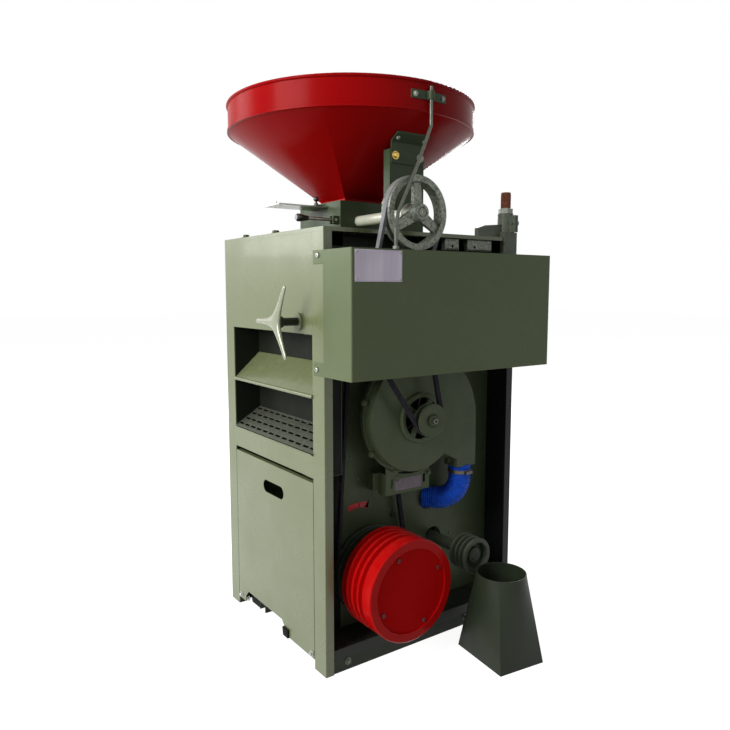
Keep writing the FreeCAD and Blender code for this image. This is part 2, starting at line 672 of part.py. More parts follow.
def main_pulley():
    """Four-groove cast pulley with a wide front ridge and a recess for its cover."""
    x, z, r = MAIN_X, MAIN_Z, MAIN_PULLEY_R
    y0, y1 = MAIN_PULLEY_Y0, MAIN_PULLEY_Y1
    middles = [y1 - 14 - MAIN_GROOVE_PITCH * k for k in reversed(range(MAIN_GROOVES))]
    seat = y0 + COVER_DEPTH + COVER_T
    profile = [(COVER_R, y0), (r - 3, y0), (r, y0 + 3)]
    for middle in middles:
        profile += groove_points(r, middle, 18.0, 10.0, 15.0)
    profile += [(r, y1 - 1), (r - 1, y1), (r - 23, y1), (r - 23, y0 + 60), (COVER_R - 8, y0 + 60),
                (COVER_R - 8, seat),
                (COVER_R, seat)]
    rim = turned_y(x, z, profile)
    web = turned_y(x, z, [(30, y0 + 48), (r - 21, y0 + 48), (r - 21, y0 + 60), (30, y0 + 60)])
    hub = turned_y(x, z, [(MAIN_SHAFT_R, y0 + 22), (38, y0 + 22), (42, y0 + 48), (42, y1 - 4),
                          (MAIN_SHAFT_R, y1 - 4)])
    return fuse([rim, web, hub])


def pulley_cover():
    """Flat disc in the red pulley's recess, with four round screw heads."""
    y0 = MAIN_PULLEY_Y0 + COVER_DEPTH
    disc = bar_y(MAIN_X, MAIN_Z, COVER_R - 0.2, y0, y0 + COVER_T)
    parts = [disc]
    for k in range(4):
        a = math.radians(90 * k + 25)
        x = MAIN_X + COVER_SCREW_RING * math.cos(a)
        z = MAIN_Z + COVER_SCREW_RING * math.sin(a)
        parts.append(bar_y(x, z, COVER_SCREW_R, y0 - 3, y0))
    return fuse(parts)


def rear_pulley():
    """Single-groove pulley behind the red one that drives the rolls."""
    x, z = MAIN_X, MAIN_Z
    y0, y1 = ROLL_BELT_Y - 14, ROLL_BELT_Y + 14
    rim = grooved_rim(x, z, REAR_PULLEY_R, y0, y1, [ROLL_BELT_Y], REAR_PULLEY_R - 24)
    web = turned_y(x, z, [(30, y0 + 8), (REAR_PULLEY_R - 20, y0 + 8), (REAR_PULLEY_R - 20, y0 + 18),
                          (30, y0 + 18)])
    hub = turned_y(x, z, [(MAIN_SHAFT_R, y0 - 12), (38, y0 - 12), (38, y1), (MAIN_SHAFT_R, y1)])
    return fuse([rim, web, hub])


def polishing_roller():
    """Iron polishing roller: a feed screw at its front and straight ribs behind."""
    x, z, r = MAIN_X, MAIN_Z, POLISHING_ROLLER_R
    y0 = BED_FRONT_Y + POLISHER_FOOT_T / 2 + 4
    y1 = BED_BACK_Y - POLISHER_FOOT_T / 2 - 4
    core = turned_y(x, z, [(MAIN_SHAFT_R, y0), (r - 8, y0), (r - 8, y1), (MAIN_SHAFT_R, y1)])
    parts = [core]
    for k in range(4):
        rib = block(x + r - 12, x + r, y0 + 60, y1, z - 5, z + 5)
        rib.rotate(V(x, 0, z), V(0, 1, 0), 90 * k)
        parts.append(rib)
    for k in range(3):
        y = y0 + 6 + 18 * k
        parts.append(turned_y(x, z, [(r - 10, y), (r, y + 2), (r, y + 6), (r - 10, y + 8)]))
    return fuse(parts)


def polisher_housing():
    """Polisher casting: end feet on the bed rails, chamber, inlet neck and bearing nose."""
    x, z = MAIN_X, MAIN_Z
    bed = RAIL_T + BED_RAIL_H
    half = POLISHER_FOOT_T / 2
    parts = []
    for y in (BED_FRONT_Y, BED_BACK_Y):
        foot = block(x - 95, x + 95, y - half, y + half, bed, z)
        parts += [foot, bar_y(x, z, 95, y - half, y + half)]
    parts.append(bar_y(x, z, POLISHER_R, BED_FRONT_Y, BED_BACK_Y))
    parts.append(block(x - 55, x + 55, -40, 60, z, z + 150))
    parts.append(bar_y(x, z, NOSE_R, NOSE_Y0, BED_FRONT_Y))
    body = fuse(parts)
    chamber = bar_y(x, z, POLISHER_R - POLISHER_WALL, BED_FRONT_Y + half, BED_BACK_Y - half)
    inlet = block(x - 47, x + 47, -32, 52, z, z + 151)
    body = body.cut(chamber).cut(inlet)
    return body.cut(bar_y(x, z, MAIN_SHAFT_R + RUN, NOSE_Y0 - 5, BED_BACK_Y + 40))


def drive_motor():
    """Foot-mounted motor with a finned frame, end bells, fan cowl and terminal box."""
    x, z, r = MOTOR_X, MOTOR_Z, MOTOR_R
    base = MOTOR_Z - MOTOR_SHAFT_HEIGHT
    frame = bar_y(x, z, r - 10, MOTOR_Y0 + 30, MOTOR_Y1 - 50)
    fins = []
    for k in range(MOTOR_FINS):
        fin = block(x + r - 13, x + r, MOTOR_Y0 + 34, MOTOR_Y1 - 54, z - 1.5, z + 1.5)
        fin.rotate(V(x, 0, z), V(0, 1, 0), 360.0 / MOTOR_FINS * (k + 0.5))
        fins.append(fin)
    bell = turned_y(x, z, [(0, MOTOR_Y0), (45, MOTOR_Y0), (r - 12, MOTOR_Y0 + 16),
                           (r - 4, MOTOR_Y0 + 34), (0, MOTOR_Y0 + 34)])
    cowl = turned_y(x, z, [(0, MOTOR_Y1 - 54), (r, MOTOR_Y1 - 54), (r, MOTOR_Y1 - 12),
                           (r - 16, MOTOR_Y1), (0, MOTOR_Y1)])
    feet = [block(x - 105, x + 105, y - 22, y + 22, base, base + 14)
            for y in (BED_FRONT_Y + 15, 70.0)]
    webs = [block(x - 60, x + 60, y - 8, y + 8, base + 12, z - 60)
            for y in (BED_FRONT_Y + 15, 70.0)]
    terminal = block(x - 40, x + 40, -40, 50, z + r - 14, z + r + 34)
    motor = fuse([frame, bell, cowl, terminal] + feet + webs + fins)
    return motor.cut(bar_y(x, z, MOTOR_SHAFT_R + RUN, MOTOR_Y0 - 1, MOTOR_Y0 + 80))


def motor_pulley():
    """Three-groove pulley with a dished front, fixed on the motor's shaft."""
    x, z, r = MOTOR_X, MOTOR_Z, MOTOR_PULLEY_R
    y0, y1 = MOTOR_PULLEY_Y0, MOTOR_PULLEY_Y1
    profile = [(0, y0 + 8), (14, y0 + 8), (16, y0 + 10), (24, y0 + 10), (26, y0 + 22), (40, y0 + 22),
               (44, y0), (r - 1, y0), (r, y0 + 1)]
    for k in range(MOTOR_GROOVES):
        profile += groove_points(r, y0 + 15 + MOTOR_GROOVE_PITCH * k, 14.0, 8.0, 11.0)
    end = MOTOR_Y0 + 78
    profile += [(r, y1), (30, y1), (28, y1 + 6), (MOTOR_SHAFT_R, y1 + 6), (MOTOR_SHAFT_R, end), (0, end)]
    return turned_y(x, z, profile)


def scroll(shrink=0.0):
    """Outline of the fan's scroll at y = 0, shrunk by a wall; grown if negative."""
    c1 = V(FAN_X + FAN_C1_X, 0, FAN_Z + FAN_C1_Z)
    c2 = c1 + V(FAN_STEP, 0, 0)
    c3 = c2 - V(0, 0, FAN_STEP)
    radii = [FAN_R1 + FAN_STEP * k - shrink for k in range(3)]

    def at(centre, r, degrees):
        a = math.radians(degrees)
        return centre + V(r * math.cos(a), 0, r * math.sin(a))

    def arc(centre, r, a0, a1):
        return Part.Arc(at(centre, r, a0), at(centre, r, (a0 + a1) / 2), at(centre, r, a1)).toShape()

    start = at(c1, radii[0], 310)
    right = c3.x + radii[2]
    bottom = FAN_DUCT_BOTTOM
    left = right - FAN_DUCT_W + 2 * shrink
    corners = [V(right, 0, c3.z), V(right, 0, bottom), V(left, 0, bottom), V(left, 0, bottom + 26), start]
    edges = [arc(c1, radii[0], 310, 180), arc(c2, radii[1], 180, 90), arc(c3, radii[2], 90, 0)]
    edges += [Part.LineSegment(a, b).toShape() for a, b in zip(corners, corners[1:])]
    return Part.Wire(Part.__sortEdges__(edges))


def scroll_solid(shrink, y0, y1):
    """The scroll's outline as a solid between two planes."""
    wire = scroll(shrink)
    wire.translate(V(0, y0, 0))
    return Part.Face(wire).extrude(V(0, y1 - y0, 0))


def fan_flange(y0, y1):
    """Joint flange round the scroll, without its duct end, with round bolt lugs."""
    ring = scroll_solid(-FAN_FLANGE, y0, y1)
    lugs = [bar_y(x, z, 10, y0, y1) for x, z in fan_bolt_places()]
    ring = fuse([ring] + lugs)
    return ring.cut(block(FAN_X - 400, FAN_X + 400, y0 - 1, y1 + 1, 300, FAN_DUCT_BOTTOM + 12))


def fan_bolt_places():
    """Bolt centres round the scroll's flange."""
    places = []
    for degrees, quarter in ((250, 0), (215, 0), (165, 1), (125, 1), (75, 2), (30, 2)):
        centre = V(FAN_X + FAN_C1_X + min(quarter, 1) * FAN_STEP, 0,
                   FAN_Z + FAN_C1_Z - max(quarter - 1, 0) * FAN_STEP)
        r = FAN_R1 + FAN_STEP * quarter + FAN_FLANGE
        a = math.radians(degrees)
        places.append((centre.x + r * math.cos(a), centre.z + r * math.sin(a)))
    return places


def fan_front_casing():
    """Front half of the scroll with the inlet opening."""
    y0, y1 = FAN_FRONT_Y, FAN_SPLIT_Y
    body = fuse([scroll_solid(0, y0, y1), fan_flange(y1 - 4, y1)])
    body = body.cut(scroll_solid(FAN_WALL, y0 + FAN_WALL, y1 + 1))
    body = body.cut(duct_mouth(y0 + FAN_WALL, y1 + 1))
    return body.cut(bar_y(FAN_X, FAN_Z, FAN_INLET_R - 12, y0 - 1, y0 + 10))


def fan_rear_casing():
    """Rear half of the scroll with the shaft hole, a spigot for the hose and two feet."""
    y0, y1 = FAN_SPLIT_Y, FAN_BACK_Y
    body = fuse([scroll_solid(0, y0, y1), fan_flange(y0, y0 + 4)])
    body = body.cut(scroll_solid(FAN_WALL, y0 - 1, y1 - FAN_WALL))
    body = body.cut(duct_mouth(y0 - 1, y1 - FAN_WALL))
    return body.cut(bar_y(FAN_X, FAN_Z, FAN_SHAFT_R + 4, y1 - 10, y1 + 1))


def duct_mouth(y0, y1):
    """The opening at the duct's lower end."""
    x1 = duct_right()
    return block(x1 - FAN_DUCT_W + FAN_WALL, x1 - FAN_WALL, y0, y1, FAN_DUCT_BOTTOM - 1,
                 FAN_DUCT_BOTTOM + 10)


def duct_right():
    """X of the duct's outer wall."""
    return FAN_X + FAN_C1_X + FAN_STEP + FAN_R1 + 2 * FAN_STEP


def fan_bearing_hub():
    """Inlet ring with a spoked bearing hub and four windows."""
    y1 = FAN_FRONT_Y
    y0 = y1 - 12
    ring = turned_y(FAN_X, FAN_Z, [(FAN_INLET_R - 14, y0), (FAN_INLET_R - 3, y0), (FAN_INLET_R, y0 + 3),
                                   (FAN_INLET_R, y1), (FAN_INLET_R - 14, y1)])
    hub = turned_y(FAN_X, FAN_Z, [(FAN_SHAFT_R + RUN, y0 - 18), (26, y0 - 18), (32, y0),
                                  (32, y1), (FAN_SHAFT_R + RUN, y1)])
    parts = [ring, hub]
    for k in range(4):
        spoke = block(FAN_X + 28, FAN_X + FAN_INLET_R - 8, y0 + 2, y1, FAN_Z - 9, FAN_Z + 9)
        spoke.rotate(V(FAN_X, 0, FAN_Z), V(0, 1, 0), 90 * k + 35)
        parts.append(spoke)
    return fuse(parts)


def fan_impeller():
    """Paddle wheel: hub, back plate and curved-back blades."""
    y0, y1 = FAN_FRONT_Y + 9, FAN_BACK_Y - 9
    x, z = FAN_X, FAN_Z
    hub = turned_y(x, z, [(FAN_SHAFT_R, y0 + 4), (24, y0 + 4), (30, y1), (FAN_SHAFT_R, y1)])
    plate = turned_y(x, z, [(26, y1 - 4), (IMPELLER_R - 24, y1 - 4), (IMPELLER_R - 24, y1), (26, y1)])
    parts = [hub, plate]
    for k in range(IMPELLER_BLADES):
        blade = block(x + 27, x + IMPELLER_R, y0, y1, z - 2, z + 2)
        blade.rotate(V(x + 27, 0, z), V(0, 1, 0), 18)
        blade.rotate(V(x, 0, z), V(0, 1, 0), 360.0 / IMPELLER_BLADES * k)
        parts.append(blade)
    return fuse(parts)


def fan_pulley():
    """Fan pulley with its shaft and end nut."""
    x, z, y = FAN_X, FAN_Z, FAN_BELT_Y
    rim = grooved_rim(x, z, FAN_PULLEY_R, y - 14, y + 12, [y], FAN_PULLEY_R - 18)
    web = turned_y(x, z, [(FAN_SHAFT_R, y - 8), (FAN_PULLEY_R - 16, y - 8), (FAN_PULLEY_R - 16, y + 2),
                          (FAN_SHAFT_R, y + 2)])
    hub = bar_y(x, z, 22, y - 12, y + 14)
    shaft = bar_y(x, z, FAN_SHAFT_R, y - 20, FAN_BACK_Y + 4)
    nut = hexagon(V(x, y - 12, z), V(0, -1, 0), 30, 10)
    return fuse([rim, web, hub, shaft, nut])


def fan_bracket():
    """Slotted box bracket that hangs the fan's front on the bay panel."""
    x0, x1 = FAN_X - 132, FAN_X + 37
    z0, z1 = 505.0, 600.0
    y0, y1 = FAN_FRONT_Y, BAY_Y - SHEET
    front = block(x0, x1, y0 - 3, y0, z0, z1)
    floor = block(x0, x1, y0 - 3, y1, z0, z0 + 3)
    back = block(x0, x1, y1 - 3, y1, z0, z0 + 55)
    cheeks = []
    for x in (x0, x1 - 3):
        cheeks.append(prism([V(x, y0, z0), V(x, y1, z0), V(x, y1, z0 + 40), V(x, y0, z0 + 40)],
                            V(3, 0, 0)))
    bracket = fuse([front, floor, back] + cheeks)
    for x in (x0 + 34, x1 - 62):
        bracket = bracket.cut(block(x, x + 28, y0 - 5, y0 + 1, z0 + 34, z0 + 46))
    strand = block(FAN_X - 62, FAN_X + 14, ROLL_BELT_Y - 16, ROLL_BELT_Y + 16, z0 - 5, z0 + 60)
    return bracket.cut(strand)


def hose_route(r):
    """The hose as a solid of radius r: down, round one bend, then to the bay panel."""
    centre_y = (FAN_FRONT_Y + FAN_BACK_Y) / 2
    x = duct_right() - FAN_DUCT_W / 2
    top = FAN_DUCT_BOTTOM
    corner = HOSE_END_Z + HOSE_BEND
    end = V(HOSE_END_X, BAY_Y, HOSE_END_Z)
    start = V(x, centre_y, HOSE_END_Z)
    side = V(end.x - start.x, end.y - start.y, 0)
    length = side.Length
    side.normalize()
    across = V(-side.y, side.x, 0)
    down = Part.makeCylinder(r, top - corner, V(x, centre_y, corner), V(0, 0, 1))
    disc = Part.Face(Part.Wire(Part.makeCircle(r, V(x, centre_y, corner), V(0, 0, 1))))
    pivot = V(x, centre_y, corner) + side * HOSE_BEND
    bend = disc.revolve(pivot, across, -90)
    if bend.BoundBox.ZMax > top:
        bend = disc.revolve(pivot, across, 90)
    out = Part.makeCylinder(r, length - HOSE_BEND + 14, start + side * HOSE_BEND, side)
    return fuse([down, bend, out])


def blower_hose():
    """Flexible hose from the fan's duct into the bay panel."""
    return hose_route(HOSE_R).cut(hose_route(HOSE_R - HOSE_WALL))


def hose_clamp():
    """Worm-drive band round the hose's upper end."""
    x = duct_right() - FAN_DUCT_W / 2
    y = (FAN_FRONT_Y + FAN_BACK_Y) / 2
    z0 = FAN_DUCT_BOTTOM - 26
    band = bar_z(x, y, HOSE_R + 2, z0, z0 + 12).cut(bar_z(x, y, HOSE_R, z0 - 1, z0 + 13))
    screw = block(x - 14, x + 14, y - HOSE_R - 10, y - HOSE_R - 1, z0 + 1, z0 + 11)
    return fuse([band, screw])


def feed_box():
    """Fabricated throat box: side slot and guides for the gate, bores for the feed shaft."""
    x, y, h, w = HOPPER_X, HOPPER_Y, BOX_HALF, BOX_WALL
    z0, z1 = CABINET_Z, BOX_TOP
    body = block(x - h, x + h, y - h, y + h, z0, z1)
    foot = block(x - h - 14, x + h + 14, y - h - 14, y + h + 14, z0, z0 + w)
    body = fuse([body, foot])
    body = body.cut(block(x - h + w, x + h - w, y - h + w, y + h - w, z0 - 1, z1 - w))
    mouth = block(x - 68, x + 68, GATE_Y0 + 2, GATE_Y1 - 2, z1 - w - 1, z1 + 1)
    gate_slot = block(x - h - 1, x - h + w + 1, GATE_Y0 - GAP, GATE_Y1 + GAP,
                      GATE_Z - GAP, GATE_Z + GATE_T + GAP)
    guides = []
    for y0, y1 in ((GATE_Y0 - 8, GATE_Y0 + 4), (GATE_Y1 - 4, GATE_Y1 + 8)):
        guides.append(block(x - h + w, x + h - w, y0, y1, GATE_Z - GAP - 5, GATE_Z - GAP))
    lock = block(x - h - 24, x - h, -14, 14, GATE_Z + GATE_T + GAP, GATE_Z + GATE_T + GAP + 8)
    ears = [block(x - h - 22, x - h, LEVER_Y + s - 3, LEVER_Y + s + 3, LEVER_Z - 12, LEVER_Z + 12)
            for s in (-9.3, 9.3)]
    body = body.cut(mouth).cut(gate_slot)
    body = fuse([body, lock] + guides + ears)
    body = body.cut(bar_z(LOCK_X, 0, 4 + RUN, GATE_Z + GATE_T, GATE_Z + 40))
    body = body.cut(bar_y(x - h - 12, LEVER_Z, 4 + RUN, LEVER_Y - 20, LEVER_Y + 20))
    return body.cut(bar_y(FEED_X, FEED_Z, FEED_SHAFT_R + RUN, y - h - 20, y + h + 20))


def square_wire(half, z):
    """A square outline about the hopper's axis."""
    x, y = HOPPER_X, HOPPER_Y
    corners = [V(x + half, y + half, z), V(x - half, y + half, z), V(x - half, y - half, z),
               V(x + half, y - half, z)]
    return Part.makePolygon(corners + corners[:1])


def round_wire(r, z):
    """A circle about the hopper's axis in four arcs, which start at the square's corners."""
    arcs = []
    centre = V(HOPPER_X, HOPPER_Y, z)
    for k in range(4):
        a = [math.radians(45 + 90 * k + t) for t in (0, 45, 90)]
        p = [centre + V(r * math.cos(t), r * math.sin(t), 0) for t in a]
        arcs.append(Part.Arc(p[0], p[1], p[2]).toShape())
    return Part.Wire(arcs)


def hopper_cone(shrink):
    """The hopper's body from its square spout to the round band."""
    z0, z1 = BOX_TOP + SPOUT_H, HOPPER_RIM - HOPPER_BAND
    return Part.makeLoft([square_wire(SPOUT_HALF - shrink, z0), round_wire(HOPPER_R - 3 - shrink, z1)],
                         True, True)


def hopper():
    """Sheet hopper: flanged square spout, cone, vertical band and a wired rim."""
    x, y = HOPPER_X, HOPPER_Y
    z0, z1 = BOX_TOP, HOPPER_RIM - HOPPER_BAND
    spout = block(x - SPOUT_HALF, x + SPOUT_HALF, y - SPOUT_HALF, y + SPOUT_HALF, z0, z0 + SPOUT_H)
    flange = block(x - SPOUT_HALF - 14, x + SPOUT_HALF + 14, y - SPOUT_HALF - 14, y + SPOUT_HALF + 14,
                   z0, z0 + 3)
    band = bar_z(x, y, HOPPER_R - 3, z1, HOPPER_RIM)
    ring = bar_z(x, y, HOPPER_R, z1 - 2, z1 + 6)
    bead = Part.makeTorus(HOPPER_R - 3, BEAD_R, V(x, y, HOPPER_RIM - BEAD_R + 2))
    outer = fuse([spout, flange, hopper_cone(0), band, ring, bead])
    t = HOPPER_T
    inner = fuse([block(x - SPOUT_HALF + t, x + SPOUT_HALF - t, y - SPOUT_HALF + t,
                        y + SPOUT_HALF - t, z0 - 1, z0 + SPOUT_H),
                  hopper_cone(t), bar_z(x, y, HOPPER_R - 3 - t, z1, HOPPER_RIM + 10)])
    return outer.cut(inner)


def hopper_strap():
    """Bent lug that lies along the cone and is bolted to the support channel."""
    x0, x1 = CHANNEL_X0 + 3, CHANNEL_X1 - 3
    y0, y1 = CHANNEL_Y - STRAP_T, CHANNEL_Y
    fold = CONE_Z0 + CONE_RISE * (HOPPER_Y - y1 - SPOUT_HALF)
    reach = 34.0
    rise = CONE_RISE * reach
    side = [V(x0, y1, CHANNEL_TOP - 40), V(x0, y1, fold), V(x0, y1 - reach, fold + rise),
            V(x0, y1 - reach, fold + rise - STRAP_T - 1), V(x0, y0, fold - STRAP_T),
            V(x0, y0, CHANNEL_TOP - 40)]
    return prism(side, V(x1 - x0, 0, 0)).cut(hopper_cone(0)).Solids[0]


def hopper_channel():
    """Support channel from the top plate up to the hopper's cone."""
    x0, x1, y0 = CHANNEL_X0, CHANNEL_X1, CHANNEL_Y
    outer = block(x0, x1, y0, y0 + CHANNEL_DEPTH, CABINET_Z, CHANNEL_TOP)
    inner = block(x0 + 4, x1 - 4, y0 + 4, y0 + CHANNEL_DEPTH + 1, CABINET_Z + 4, CHANNEL_TOP + 1)
    body = outer.cut(inner).cut(hopper_cone(0))
    return body.cut(bar_y(FEED_X, FEED_Z, SLEEVE_R, y0 - 1, y0 + CHANNEL_DEPTH + 1))


def stay_bracket():
    """Omega strap on the hopper's band that holds the stay rod's upper end."""
    z0, z1 = HOPPER_RIM - 53, HOPPER_RIM - 29
    ring = bar_z(HOPPER_X, HOPPER_Y, HOPPER_R, z0, z1)
    ring = ring.cut(bar_z(HOPPER_X, HOPPER_Y, HOPPER_R - 3, z0 - 1, z1 + 1))
    y = HOPPER_Y - HOPPER_R
    strap = ring.common(block(HOPPER_X - 66, HOPPER_X + 62, y - 10, y + 40, z0, z1))
    loop = bar_z(HOPPER_X - 4, y - STAY_R - 2, STAY_R + 4, z0, z1)
    strap = fuse([strap, loop, block(HOPPER_X - 13, HOPPER_X + 5, y - 5, y + 1, z0, z1)])
    strap = strap.cut(bar_z(HOPPER_X, HOPPER_Y, HOPPER_R - 3, z0 - 1, z1 + 1))
    return strap.cut(bar_z(HOPPER_X - 4, y - STAY_R - 2, STAY_R, z0 - 1, z1 + 1))


def bent_rod(points, r):
    """A round rod through points, with a ball at each inner corner."""
    parts = []
    for a, b in zip(points, points[1:]):
        parts.append(Part.makeCylinder(r, (b - a).Length, a, b - a))
    parts += [Part.makeSphere(r, p) for p in points[1:-1]]
    return fuse(parts)


def stay_rod():
    """Bent rod from the hopper's band down to the belt guard's upper lip."""
    x, y = HOPPER_X - 4, HOPPER_Y - HOPPER_R - STAY_R - 2
    rim, lip, past_pulley = HOPPER_RIM, GUARD_Z1, FEED_BELT_Y - FEED_RIM_W / 2 - STAY_R
    points = [V(x, y, rim - 16), V(x, y, rim - 124), V(x - 60, past_pulley, rim - 240),
              V(STAY_LOW_X + 22, STAY_LOW_Y + 18, lip + 102), V(STAY_LOW_X, STAY_LOW_Y, lip + 55),
              V(STAY_LOW_X, STAY_LOW_Y, lip - 16)]
    nut = hexagon(V(STAY_LOW_X, STAY_LOW_Y, GUARD_Z1), V(0, 0, 1), 17, 8)
    return fuse([bent_rod(points, STAY_R), nut])


def feed_shaft_sleeve():
    """Tube round the feed shaft from the feed box to the feed pulley."""
    y0, y1 = FEED_BELT_Y + FEED_RIM_W / 2 + 8, HOPPER_Y - BOX_HALF
    tube = bar_y(FEED_X, FEED_Z, SLEEVE_R, y0, y1)
    return tube.cut(bar_y(FEED_X, FEED_Z, FEED_SHAFT_R + RUN, y0 - 1, y1 + 1))


def feed_pulley():
    """Cast three-spoke pulley on the feed shaft."""
    x, z, r = FEED_X, FEED_Z, FEED_PULLEY_R
    y0, y1 = FEED_BELT_Y - FEED_RIM_W / 2, FEED_BELT_Y + FEED_RIM_W / 2
    rim = grooved_rim(x, z, r, y0, y1, [FEED_BELT_Y], r - 18)
    hub = turned_y(x, z, [(FEED_SHAFT_R, y0 - 15), (24, y0 - 15), (30, y0 + 8), (30, y1 + 7),
                          (FEED_SHAFT_R, y1 + 7)])
    parts = [rim, hub]
    for k in range(3):
        spoke = prism([V(x + 22, y0 + 2, z - 17), V(x + r - 16, y0 + 8, z - 12),
                       V(x + r - 16, y0 + 8, z + 12), V(x + 22, y0 + 2, z + 17)], V(0, 12, 0))
        spoke.rotate(V(x, 0, z), V(0, 1, 0), -90 + 120 * k)
        parts.append(spoke)
    return fuse(parts).cut(bar_y(x, z, FEED_SHAFT_R, y0 - 30, y1 + 30))


def feed_roller():
    """Fluted feed roller in the throat box and the shaft that carries its pulley."""
    x, z, r = FEED_X, FEED_Z, FEED_ROLLER_R
    h = BOX_HALF - BOX_WALL
    y0, y1 = HOPPER_Y - h + 1, HOPPER_Y + h - 1
    drum = bar_y(x, z, r, y0, y1)
    for k in range(8):
        a = math.radians(45 * k)
        drum = drum.cut(bar_y(x + (r + 2) * math.cos(a), z + (r + 2) * math.sin(a), 7, y0 - 1, y1 + 1))
    shaft = bar_y(x, z, FEED_SHAFT_R, FEED_BELT_Y - FEED_RIM_W / 2 - 17, HOPPER_Y + BOX_HALF + 12)
    return fuse([drum, shaft])


def gate_slide():
    """Flat gate that closes the hopper's spout, with a turned-up pull end."""
    plate = block(GATE_X0, GATE_X1, GATE_Y0, GATE_Y1, GATE_Z, GATE_Z + GATE_T)
    pull = block(GATE_X0, GATE_X0 + 3, GATE_Y0 + 20, GATE_Y1 - 20, GATE_Z, GATE_Z + 12)
    return fuse([plate, pull])


def gate_lock_screw():
    """Thumb screw with a round knob that presses on the gate slide."""
    z0 = GATE_Z + GATE_T + GAP
    shank = bar_z(LOCK_X, 0, 4, z0 + GAP, z0 + 22)
    knob = Part.makeSphere(9, V(LOCK_X, 0, z0 + 27))
    collar = bar_z(LOCK_X, 0, 7, z0 + 8 + GAP, z0 + 14)
    return fuse([shank, knob, collar])


def gate_lever():
    """Lever on the throat box: pivot eye, cross pin and round arm."""
    x = HOPPER_X - BOX_HALF - 12
    eye = bar_y(x, LEVER_Z, 9, LEVER_Y - 6, LEVER_Y + 6)
    pin = bar_y(x, LEVER_Z, 4, LEVER_Y - 14, LEVER_Y + 14)
    arm = bar_x(LEVER_Y, LEVER_Z, 5, GATE_X0 + 55, x)
    return fuse([eye, pin, arm])


def lever_knob():
    """Tapered hand knob on the gate lever."""
    x1 = GATE_X0 + 68
    profile = [V(x1, LEVER_Y, LEVER_Z), V(x1, LEVER_Y + 7, LEVER_Z), V(x1 - 28, LEVER_Y + 12, LEVER_Z),
               V(x1 - 35, LEVER_Y + 12, LEVER_Z), V(x1 - 41, LEVER_Y + 8, LEVER_Z),
               V(x1 - 41, LEVER_Y, LEVER_Z)]
    body = Part.Face(Part.makePolygon(profile + profile[:1])).revolve(
        V(0, LEVER_Y, LEVER_Z), V(1, 0, 0), 360)
    return body.cut(bar_x(LEVER_Y, LEVER_Z, 5, GATE_X0 + 55, x1 + 1))


def star_handle():
    """Three-arm cast handle with swept, tapering arms on its threaded shaft."""
    x, y, z = STAR_HUB_X, STAR_Y, STAR_Z
    hub = Part.makeCone(16, 21, 26, V(x - 8, y, z), V(1, 0, 0))
    parts = [hub]
    for k in range(3):
        rows = ((6.0, 15.0, 8.5, 4.0), (0.5 * STAR_ARM, 9.5, 6.5, -8.0),
                (STAR_ARM, 6.5, 5.0, -24.0))
        wires = []
        for reach, wide, thick, back in rows:
            e = Part.Ellipse(V(0, 0, 0), wide, thick).toShape()
            e.rotate(V(0, 0, 0), V(1, 0, 0), 90)
            e.rotate(V(0, 0, 0), V(0, 1, 0), 90)
            e.translate(V(x + back, y + reach, z))
            wires.append(Part.Wire(e))
        arm = Part.makeLoft(wires, True)
        arm = fuse([arm, Part.makeSphere(5.4, V(x - 24, y + STAR_ARM, z))])
        arm.rotate(V(x, y, z), V(1, 0, 0), 120 * k)
        parts.append(arm)
    end = HUSKER_X0 - 3
    parts.append(bar_x(y, z, STAR_SHAFT_R, x + 8, end))
    return fuse(parts)


def tension_clamp():
    """Corner bracket with a split clamp for the threaded rod and a tapered side arm."""
    x, y, r = ROD_X, ROD_Y, ROD_R
    plate = block(X_END - POST_FRONT - 30, X_END, Y_DRIVE - 5, Y_DRIVE, GUARD_Z1 + 4, CABINET_Z + 17)
    bridge = block(X_END - POST_FRONT - 30, X_END, Y_DRIVE - 5, y + 16, CABINET_Z, CABINET_Z + 17)
    body = fuse([bar_z(x, y, r + 10, CABINET_Z + 17, CLAMP_Z1), plate, bridge,
                 block(x - 8, x + 8, y - 49, y, CLAMP_Z0, CLAMP_Z1 - 8)])
    arm = prism([V(x - 20, y - 8, CABINET_Z), V(x - 20, y - 8, CABINET_Z + 44),
                 V(x - 102, y - 8, CABINET_Z + 37), V(x - 134, y - 8, CABINET_Z + 27),
                 V(x - 134, y - 8, CABINET_Z)], V(0, 16, 0))
    body = fuse([body, arm])
    body = body.cut(bar_z(x, y, r + RUN, CABINET_Z - 1, CLAMP_Z1 + 1))
    body = body.cut(block(x - 1.5, x + 1.5, y - 53, y, CLAMP_Z0 - 1, CLAMP_Z1 + 1))
    bolt = bar_x(y - 38, CLAMP_Z0 + 30, 5, x - 14, x + 18)
    head = hexagon(V(x + 8, y - 38, CLAMP_Z0 + 30), V(1, 0, 0), 17, 7)
    return fuse([body.cut(bar_x(y - 38, CLAMP_Z0 + 30, 5, x - 30, x + 30)), bolt, head])


def tension_rod():
    """Threaded rod with its lock nut and a lower thrust collar."""
    x, y, r = ROD_X, ROD_Y, ROD_R
    rod = turned_z(x, y, [(0, ROD_Z0), (r - 1.5, ROD_Z0), (r, ROD_Z0 + 2), (r, ROD_Z1 - 2),
                          (r - 2, ROD_Z1), (0, ROD_Z1)])
    nut = hexagon(V(x, y, CLAMP_Z1 + GAP), V(0, 0, 1), 42, 16)
    collar = bar_z(x, y, r + 3, ROD_Z0 + 20, ROD_Z0 + 30)
    return fuse([rod, nut, collar])


def turned_z(x, y, profile):
    """A body of revolution about a vertical line: profile lists (radius, z)."""
    points = [V(x + r, y, z) for r, z in profile]
    face = Part.Face(Part.makePolygon(points + points[:1]))
    return face.revolve(V(x, y, 0), V(0, 0, 1), 360)


